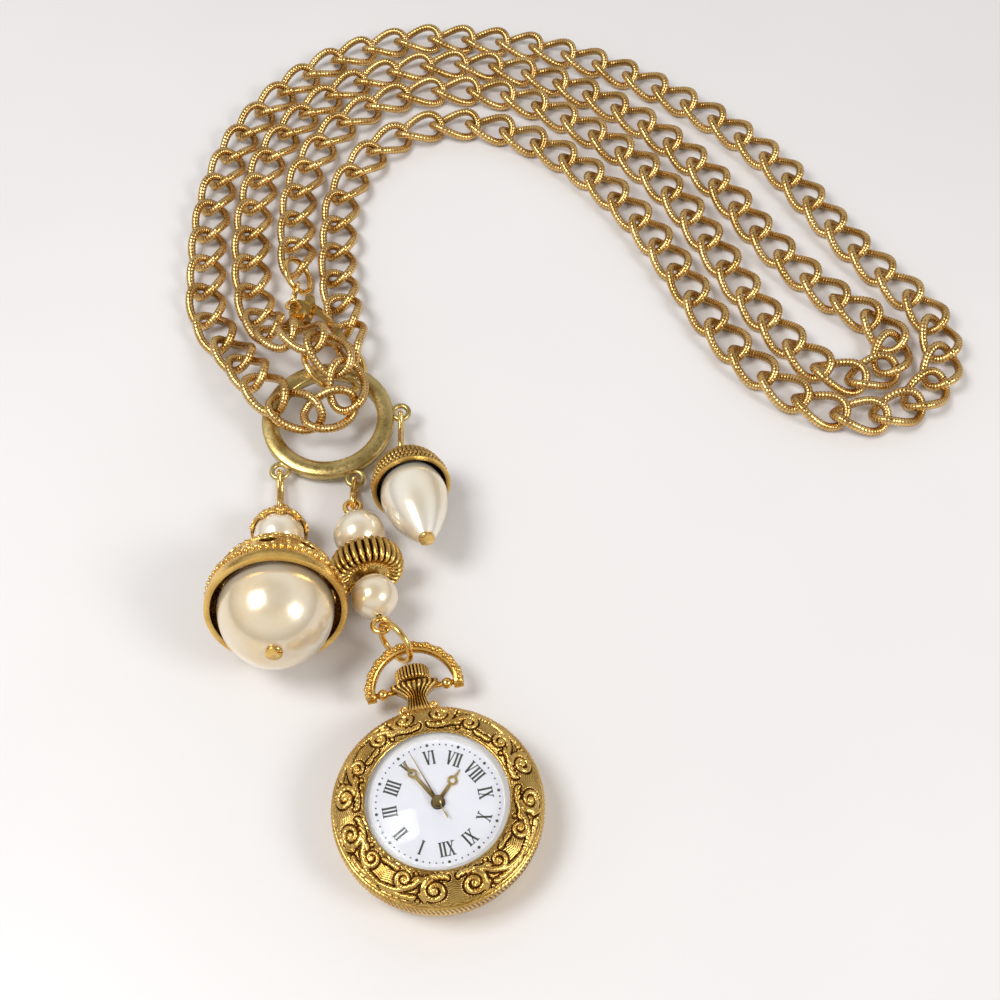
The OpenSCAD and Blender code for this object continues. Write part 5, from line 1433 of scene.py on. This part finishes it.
@dataclass
class RightDrop:
    """Long drop under a granulated acorn cap. Sizes in millimetres, turns in degrees."""

    finishes: Finishes
    pin_at: np.ndarray = field(default_factory=lambda: joint_at("teardrop_spin"))
    azimuth: float = 194.0
    rise: float = 15.0
    cap_top: float = 2.84
    cap_r: float = 6.0
    cap_h: float = 7.2
    cap_t: float = 0.7
    bore_r: float = 0.4
    drop_top: float = 5.576
    drop_l: float = 16.0
    drop_r: float = 5.0
    grain_pitch: float = 0.66
    grain_depth: float = 0.26

    def place(self) -> Place:
        """Give the pin's frame, from the ring towards the drop's tip."""
        return Place.heading(self.pin_at, self.azimuth, self.rise)

    def build(self) -> None:
        """Build the drop's pieces."""
        Pearls(self.finishes).drop_pearl(self.place(), self.drop_top, self.drop_l, self.drop_r)
        self.cap()
        for node in ("teardrop_pin", "right_connector"):
            smoothed(node, self.finishes.of("polished_gold"))

    def cap(self) -> None:
        """Build the cap: its profile turned, with rows of grains on the outside.

        Along the outline the surface is cut into rows, and each row into as many cells as fit
        round it. In a cell the height is that of a ball, and outside the ball the surface sinks.
        """
        shares = [(0.16, 0), (0.4, 0.07), (0.66, 0.22), (0.84, 0.42), (0.93, 0.6), (0.96, 0.72),
                  (1, 0.8), (1, 1)]
        outer = smooth_curve([(r * self.cap_r, s * self.cap_h) for r, s in shares], 96)
        run = np.concatenate([[0], np.cumsum(np.linalg.norm(np.diff(outer, axis=0), axis=1))])
        pitch, steps = self.grain_pitch, 560
        row = np.floor(run / pitch)
        middle = np.interp((row + 0.5) * pitch, run, outer[:, 0])
        count = np.maximum(6, np.round(TURN * middle / pitch))
        cell = around(steps)[:, None] * count / TURN + 0.5 * (row % 2)
        off = np.hypot(cell % 1 - 0.5, run / pitch % 1 - 0.5) / 0.5
        grain = np.sqrt(np.clip(1 - off**2, 0, 1))
        fade = rising(run, 0.3, 0.6) * rising(run[-1] - run, 0.25, 0.2)
        depth = self.grain_depth * (1 - grain) * fade
        carved = outer[None] - depth[..., None] * outward(outer)[None]
        inside = [(r * self.cap_r - self.cap_t, s * self.cap_h) for r, s in shares[:3:-1]]
        inside += [(r * self.cap_r - self.cap_t, s * self.cap_h + 0.35) for r, s in shares[3:1:-1]]
        inner = smooth_curve(inside + [(self.bore_r, 1.3 * self.cap_t)], 20)
        inner = np.concatenate([inner, [(self.bore_r, 0.0)]])
        # Gaps between grains darken as patina; the cap's inside, round the pearl, gets 0.8 of painted
        # shade.
        dark = lined(np.clip(1.1 * (1 - grain) * fade, 0, 1), np.full(len(inner), 0.8))
        stock = Stock(self.place())
        stock.turned(lined(carved, inner), steps, dark, self.cap_top)
        look = self.finishes.of("case_gold")
        stock.piece("acorn_grains", "teardrop", look, Slot.FITTINGS, ("acorn_cap",), 75.0)


# Ring, clasp and chain


@dataclass
class RingAndClasp:
    """Big ring, clasp and the small rings, whose solids have their right shapes."""

    finishes: Finishes

    def build(self) -> None:
        """Stand smooth copies in for each."""
        smoothed("big_ring", self.finishes.of("ring_gold"))
        for node in ("clasp_ring", "clasp_body", "clasp_lever", "clasp_pin", "clasp_link", "end_ring"):
            smoothed(node, self.finishes.of("polished_gold"))


@dataclass
class CurbChain:
    """A rope of curb links, each a saddle-shaped loop of ribbed wire. Sizes in millimetres."""

    finishes: Finishes
    ring_at: tuple[float, float] = (-19.2955, 65.193)
    pitch: float = 6.8
    link_w: float = 7.0
    wire_d: float = 1.4
    saddle: float = 1.1
    slack: float = 0.4
    table_gap: float = 0.1
    ribs: int = 48
    rib_r: float = 1.06
    rib_depth: float = 0.16
    steps: int = 144
    sides: int = 8
    turns: tuple[int, ...] = (22, 58, 96, 128)
    # Link count, share to the right, share up, share lifted, roll: the route of the source
    route: tuple[tuple[float, float, float, float, float], ...] = (
        (0, -1.21, 5.4, 0.06, -10), (1, -1.31, 6.38, 0, 0), (2, -1.35, 7.38, 0, 0),
        (3.01, -1.26, 8.38, 0, 0), (4.2, -0.94, 9.53, 0, 0), (5.6, -0.24, 10.74, 0, 0),
        (7.01, 0.85, 11.62, 0, 0), (8.55, 2.32, 12.03, 0, 0), (10.03, 3.79, 11.94, 0, 0),
        (11.3, 4.97, 11.47, 0, 0), (13.13, 6.44, 10.38, 0, 0), (15.01, 7.76, 9.06, 0, 0),
        (16.85, 8.79, 7.53, 0, 0), (18.65, 9.53, 5.9, 0, 0), (20.08, 10.09, 4.57, 0, 0),
        (21.5, 10.71, 3.29, 0, 0), (22.72, 11.34, 2.29, 0, 0), (23.56, 11.87, 1.72, 0, 0),
        (24.5, 12.62, 1.44, 0, 0), (25.48, 13.37, 1.78, 0, 0), (26.45, 13.65, 2.54, 0, 0),
        (27.42, 13.29, 3.29, 0, 0), (28.53, 12.53, 3.97, 0, 0), (29.7, 11.79, 4.85, 0, 0),
        (31.32, 10.91, 6.21, 0, 0), (33.37, 9.97, 8.03, 0, 0), (35.43, 8.82, 9.74, 0, 0),
        (37.55, 7.35, 11.26, 0, 0), (39.55, 5.71, 12.38, 0, 0), (41.46, 3.94, 13.09, 0, 0),
        (43.38, 2.03, 13.15, 0, 0), (45.21, 0.29, 12.59, 0, 0), (46.87, -1, 11.56, 0, 0),
        (48.49, -1.88, 10.21, 0, 0), (50.04, -2.35, 8.74, 0, 0), (51.67, -2.49, 7.12, 0, 0),
        (53.05, -2.44, 5.74, 0, 0), (54, -2.32, 4.79, 0, 0), (55, -2.12, 3.82, 0.02, 0),
        (56, -1.8, 3.09, 0.14, 6), (57, -1.34, 2.4, 0.53, 5), (58, -0.67, 1.99, 0.92, -9),
        (59, 0.01, 1.4, 0.98, 3), (60, 0.45, 0.63, 0.7, -8), (61, 0.09, -0.01, 0.57, -29),
        (62, -0.69, -0.07, 0.65, -26), (63, -1.41, 0.47, 0.67, -12), (64, -1.95, 1.29, 0.46, -5),
        (65, -2.44, 2.09, 0.18, 5), (66, -3, 2.91, 0.02, -2), (67, -3.35, 3.79, 0, 0),
        (68, -3.47, 4.76, 0, 0), (69.47, -3.59, 6.24, 0, 0), (71.23, -3.54, 8, 0, 0),
        (73.18, -3.15, 9.91, 0, 0), (75.31, -2.21, 11.82, 0, 0), (77.45, -0.74, 13.38, 0, 0),
        (79.63, 1.24, 14.29, 0, 0), (81.75, 3.35, 14.32, 0, 0), (83.85, 5.41, 13.88, 0, 0),
        (85.97, 7.32, 12.97, 0, 0), (87.96, 8.94, 11.79, 0, 0), (89.98, 10.41, 10.41, 0, 0),
        (92.01, 11.65, 8.79, 0, 0), (93.89, 12.53, 7.12, 0, 0), (95.56, 13.32, 5.65, 0, 0),
        (96.9, 14.06, 4.53, 0, 0), (98.04, 14.65, 3.59, 0, 0), (99.15, 14.85, 2.56, 0, 0),
        (100.24, 14.65, 1.56, 0, 0), (101.36, 13.97, 0.76, 0, 0), (102.47, 13.03, 0.32, 0, 0),
        (103.5, 12.06, 0.35, 0, 0), (104.56, 11.15, 0.82, 0, 0), (106.04, 10.12, 1.88, 0, 0),
        (107.8, 9.24, 3.41, 0, 0), (109.71, 8.5, 5.18, 0, 0), (111.61, 7.65, 6.88, 0, 0),
        (113.59, 6.5, 8.5, 0, 0), (115.46, 5.12, 9.76, 0, 0), (117.26, 3.5, 10.53, 0, 0),
        (118.89, 1.88, 10.44, 0, 0), (120.37, 0.68, 9.59, 0, 0), (121.9, -0.01, 8.24, 0, 0),
        (123, -0.21, 7.15, 0, 0), (124, -0.19, 6.16, 0, 0), (125, -0.15, 5.19, 0, 0),
        (126, -0.03, 4.26, 0.03, 9), (127, 0.15, 3.4, 0.09, 24), (128, 0.38, 2.44, 0.15, 40),
    )

    def on_route(self, count: np.ndarray) -> np.ndarray:
        """Read the route at link counts.

        Between two knots it is the cubic with the knots' slopes, each the mean step between the
        knot's neighbours.

        Args:
            count: link counts.

        Returns:
            One row of the route for each.
        """
        knots = np.array(self.route, float)
        before = np.maximum(np.arange(len(knots)) - 1, 0)
        after = np.minimum(np.arange(len(knots)) + 1, len(knots) - 1)
        slope = (knots[after] - knots[before]) / (knots[after, :1] - knots[before, :1])
        k = np.clip(np.searchsorted(knots[:, 0], count, side="right") - 1, 0, len(knots) - 2)
        span = knots[k + 1, :1] - knots[k, :1]
        t = (np.asarray(count, float)[:, None] - knots[k, :1]) / span
        return ((2 * t**3 - 3 * t**2 + 1) * knots[k] + (t**3 - 2 * t**2 + t) * span * slope[k]
                + (3 * t**2 - 2 * t**3) * knots[k + 1] + (t**3 - t**2) * span * slope[k + 1])

    def spots(self, rows: np.ndarray) -> np.ndarray:
        """Turn rows of the route into places.

        Args:
            rows: link count, shares to the right, up and lifted, and roll.

        Returns:
            One place for each row, in millimetres.
        """
        flat = self.saddle + self.wire_d / 2 + self.table_gap
        x = self.ring_at[0] + rows[:, 1] * self.pitch
        y = self.ring_at[1] + rows[:, 2] * self.pitch
        return np.stack([x, y, flat + rows[:, 3] * self.pitch], axis=1)

    def frames(self) -> tuple[np.ndarray, np.ndarray]:
        """Give each link's centre and its axes, ahead, across and above.

        Returns:
            Centres, one row each, and axes as one 3 by 3 block each.
        """
        last = self.route[-1][0]
        number = np.arange(int(last) + 1, dtype=float)
        rows = self.on_route(number)
        after = self.spots(self.on_route(np.minimum(last, number + 0.5)))
        ahead = after - self.spots(self.on_route(np.maximum(0, number - 0.5)))
        ahead /= np.linalg.norm(ahead, axis=1)[:, None]
        side = np.cross([0.0, 0.0, 1.0], ahead)
        side /= np.linalg.norm(side, axis=1)[:, None]
        up = np.cross(ahead, side)
        roll = np.radians(rows[:, 4])[:, None]
        across = np.cos(roll) * side + np.sin(roll) * up
        above = np.cos(roll) * up - np.sin(roll) * side
        return self.spots(rows), np.stack([ahead, across, above], axis=1)

    def link(self) -> tuple[np.ndarray, np.ndarray]:
        """Build one link about its own centre.

        The wire's middle is x = a cos t, y = b sin t, z = c sin 2t. A circle goes along it, its
        radius smaller in the grooves between the ribs.

        Returns:
            The grid of corner by place, and how dark each point is: patina and painted shade.
        """
        long = (self.pitch + self.wire_d + self.slack) / 2
        wide = (self.link_w - self.wire_d) / 2
        t = around(self.steps)
        middle = np.stack([long * np.cos(t), wide * np.sin(t), self.saddle * np.sin(2 * t)], axis=1)
        groove = wave(self.ribs * t)
        radius = self.wire_d / 2 * (self.rib_r - self.rib_depth * groove)
        grid = tube(middle, radius, np.broadcast_to([0.0, 0.0, 1.0], middle.shape), self.sides, True)
        # Grooves between the ribs darken as patina; the side facing the link's middle and the wire's
        # underside darken as painted shade.
        inner_side_shade = 1 - np.hypot(grid[..., 0] / long, grid[..., 1] / wide)
        low = (middle[:, 2] - grid[..., 2]) / self.wire_d
        patina_and_shade = 0.5 * groove + 1.0 * np.clip(inner_side_shade, 0, 1) + 0.35 * np.clip(low, 0, 1)
        return grid, np.clip(patina_and_shade, 0, 1)

    def build(self) -> None:
        """Build the four runs of the chain."""
        centres, axes = self.frames()
        grid, patina_and_shade = self.link()
        links = centres[:, None, None, :] + np.einsum("ijk,nkl->nijl", grid, axes)
        first = 0
        for run, last in enumerate(self.turns, start=1):
            stock = Stock()
            stock.add(links[first:last + 1], patina_and_shade, loop_cols=True)
            node, look = f"chain_run_{run}", self.finishes.of("chain_gold")
            stock.piece(f"{node}_links", "chain", look, Slot.CHAIN, (node,), 75.0)
            first = last + 1


# Studio


@dataclass
class Studio:
    """Pale floor, soft lamps, dim surroundings and the camera. Places in metres."""

    eye: Triple = (0.00802, -0.0653, 0.1713)
    aim: Triple = (0.0, 0.04, 0.0)
    tilt: float = 34.4
    lens: float = 48.1
    film: float = 36.0
    floor_half: float = 1.2
    floor_gap: float = 0.00002
    # Name, place in metres, side in metres, power in watts
    lamps: tuple[tuple[str, Triple, float, float], ...] = (
        ("key_lamp", (-0.24, -0.01, 0.43), 0.20, 1.3),
        ("fill_lamp", (0.34, -0.14, 0.32), 0.16, 0.8),
    )
    # Height as a share of straight overhead, and the colour there
    sky: tuple[tuple[float, Triple], ...] = (
        (0.05, (0.16, 0.14, 0.12)), (0.42, (0.70, 0.70, 0.71)),
        (0.72, (0.64, 0.64, 0.65)), (0.93, (0.24, 0.20, 0.16)),
    )

    def build(self) -> None:
        """Set the scene round the part."""
        scene = bpy.context.scene
        scene.view_settings.view_transform = "Standard"
        self.floor()
        self.surroundings()
        for name, at, size, power in self.lamps:
            self.lamp(name, at, size, power)
        data = bpy.data.cameras.new("photo_camera")
        data.lens = self.lens
        data.sensor_width = self.film
        data.clip_start = 0.005
        camera = bpy.data.objects.new("photo_camera", data)
        camera.location = self.eye
        camera.rotation_euler = (math.radians(self.tilt), 0, 0)
        scene.collection.objects.link(camera)
        scene.camera = camera

    def floor(self) -> None:
        """Lay the floor just under the part: a grid, flat to the edge, in a pale glossy finish."""
        count = 9
        side = np.linspace(-self.floor_half, self.floor_half, count)
        x, y = np.meshgrid(side, side, indexing="ij")
        points = np.stack([x, y, np.full_like(x, -self.floor_gap)], axis=-1).reshape(-1, 3)
        i, j = np.meshgrid(np.arange(count - 1), np.arange(count - 1), indexing="ij")
        corner = (i * count + j).reshape(-1)
        faces = np.stack([corner, corner + count, corner + count + 1, corner + 1], axis=1)
        mesh = bpy.data.meshes.new("floor")
        mesh.from_pydata(points.tolist(), [], faces.tolist())
        look = PlainCoat("floor_sheet", (0.80, 0.785, 0.78), (0.83, 0.815, 0.81), smooth=0.3, dull=0.38,
                         patch=12.0, grain=700.0, depth=0.000003)
        mesh.materials.append(look.material())
        floor = bpy.data.objects.new("floor", mesh)
        bpy.context.scene.collection.objects.link(floor)

    def surroundings(self) -> None:
        """Make the world: dark near the horizon and straight overhead, pale between."""
        world = bpy.data.worlds.new("studio")
        bpy.context.scene.world = world
        world.use_nodes = True
        nodes, links = world.node_tree.nodes, world.node_tree.links
        coords = nodes.new("ShaderNodeTexCoord")
        split = nodes.new("ShaderNodeSeparateXYZ")
        ramp = nodes.new("ShaderNodeValToRGB")
        marks = ramp.color_ramp.elements
        marks.new(0.5)
        marks.new(0.7)
        for mark, (height, colour) in zip(marks, self.sky):
            mark.position = height
            mark.color = (*colour, 1)
        links.new(coords.outputs["Generated"], split.inputs["Vector"])
        links.new(split.outputs["Z"], ramp.inputs["Fac"])
        links.new(ramp.outputs["Color"], nodes["Background"].inputs["Color"])

    def lamp(self, name: str, at: Triple, size: float, power: float) -> None:
        """Hang a soft square lamp aimed at the middle of the part.

        Args:
            name: its name.
            at: where it hangs, in metres.
            size: its side, in metres.
            power: its power, in watts.
        """
        data = bpy.data.lights.new(name, "AREA")
        data.size = size
        data.energy = power
        lamp = bpy.data.objects.new(name, data)
        lamp.location = at
        aim = Vector(self.aim) - Vector(at)
        lamp.rotation_euler = aim.to_track_quat("-Z", "Y").to_euler()
        bpy.context.scene.collection.objects.link(lamp)


def main() -> None:
    """Build the studio and each sub-assembly."""
    logging.basicConfig(level=logging.INFO, format="%(message)s")
    finishes = Finishes()
    Studio().build()
    Watch(finishes).build()
    MiddleDrop(finishes).build()
    LeftDrop(finishes).build()
    RightDrop(finishes).build()
    RingAndClasp(finishes).build()
    CurbChain(finishes).build()


if __name__ == "__main__":
    main()
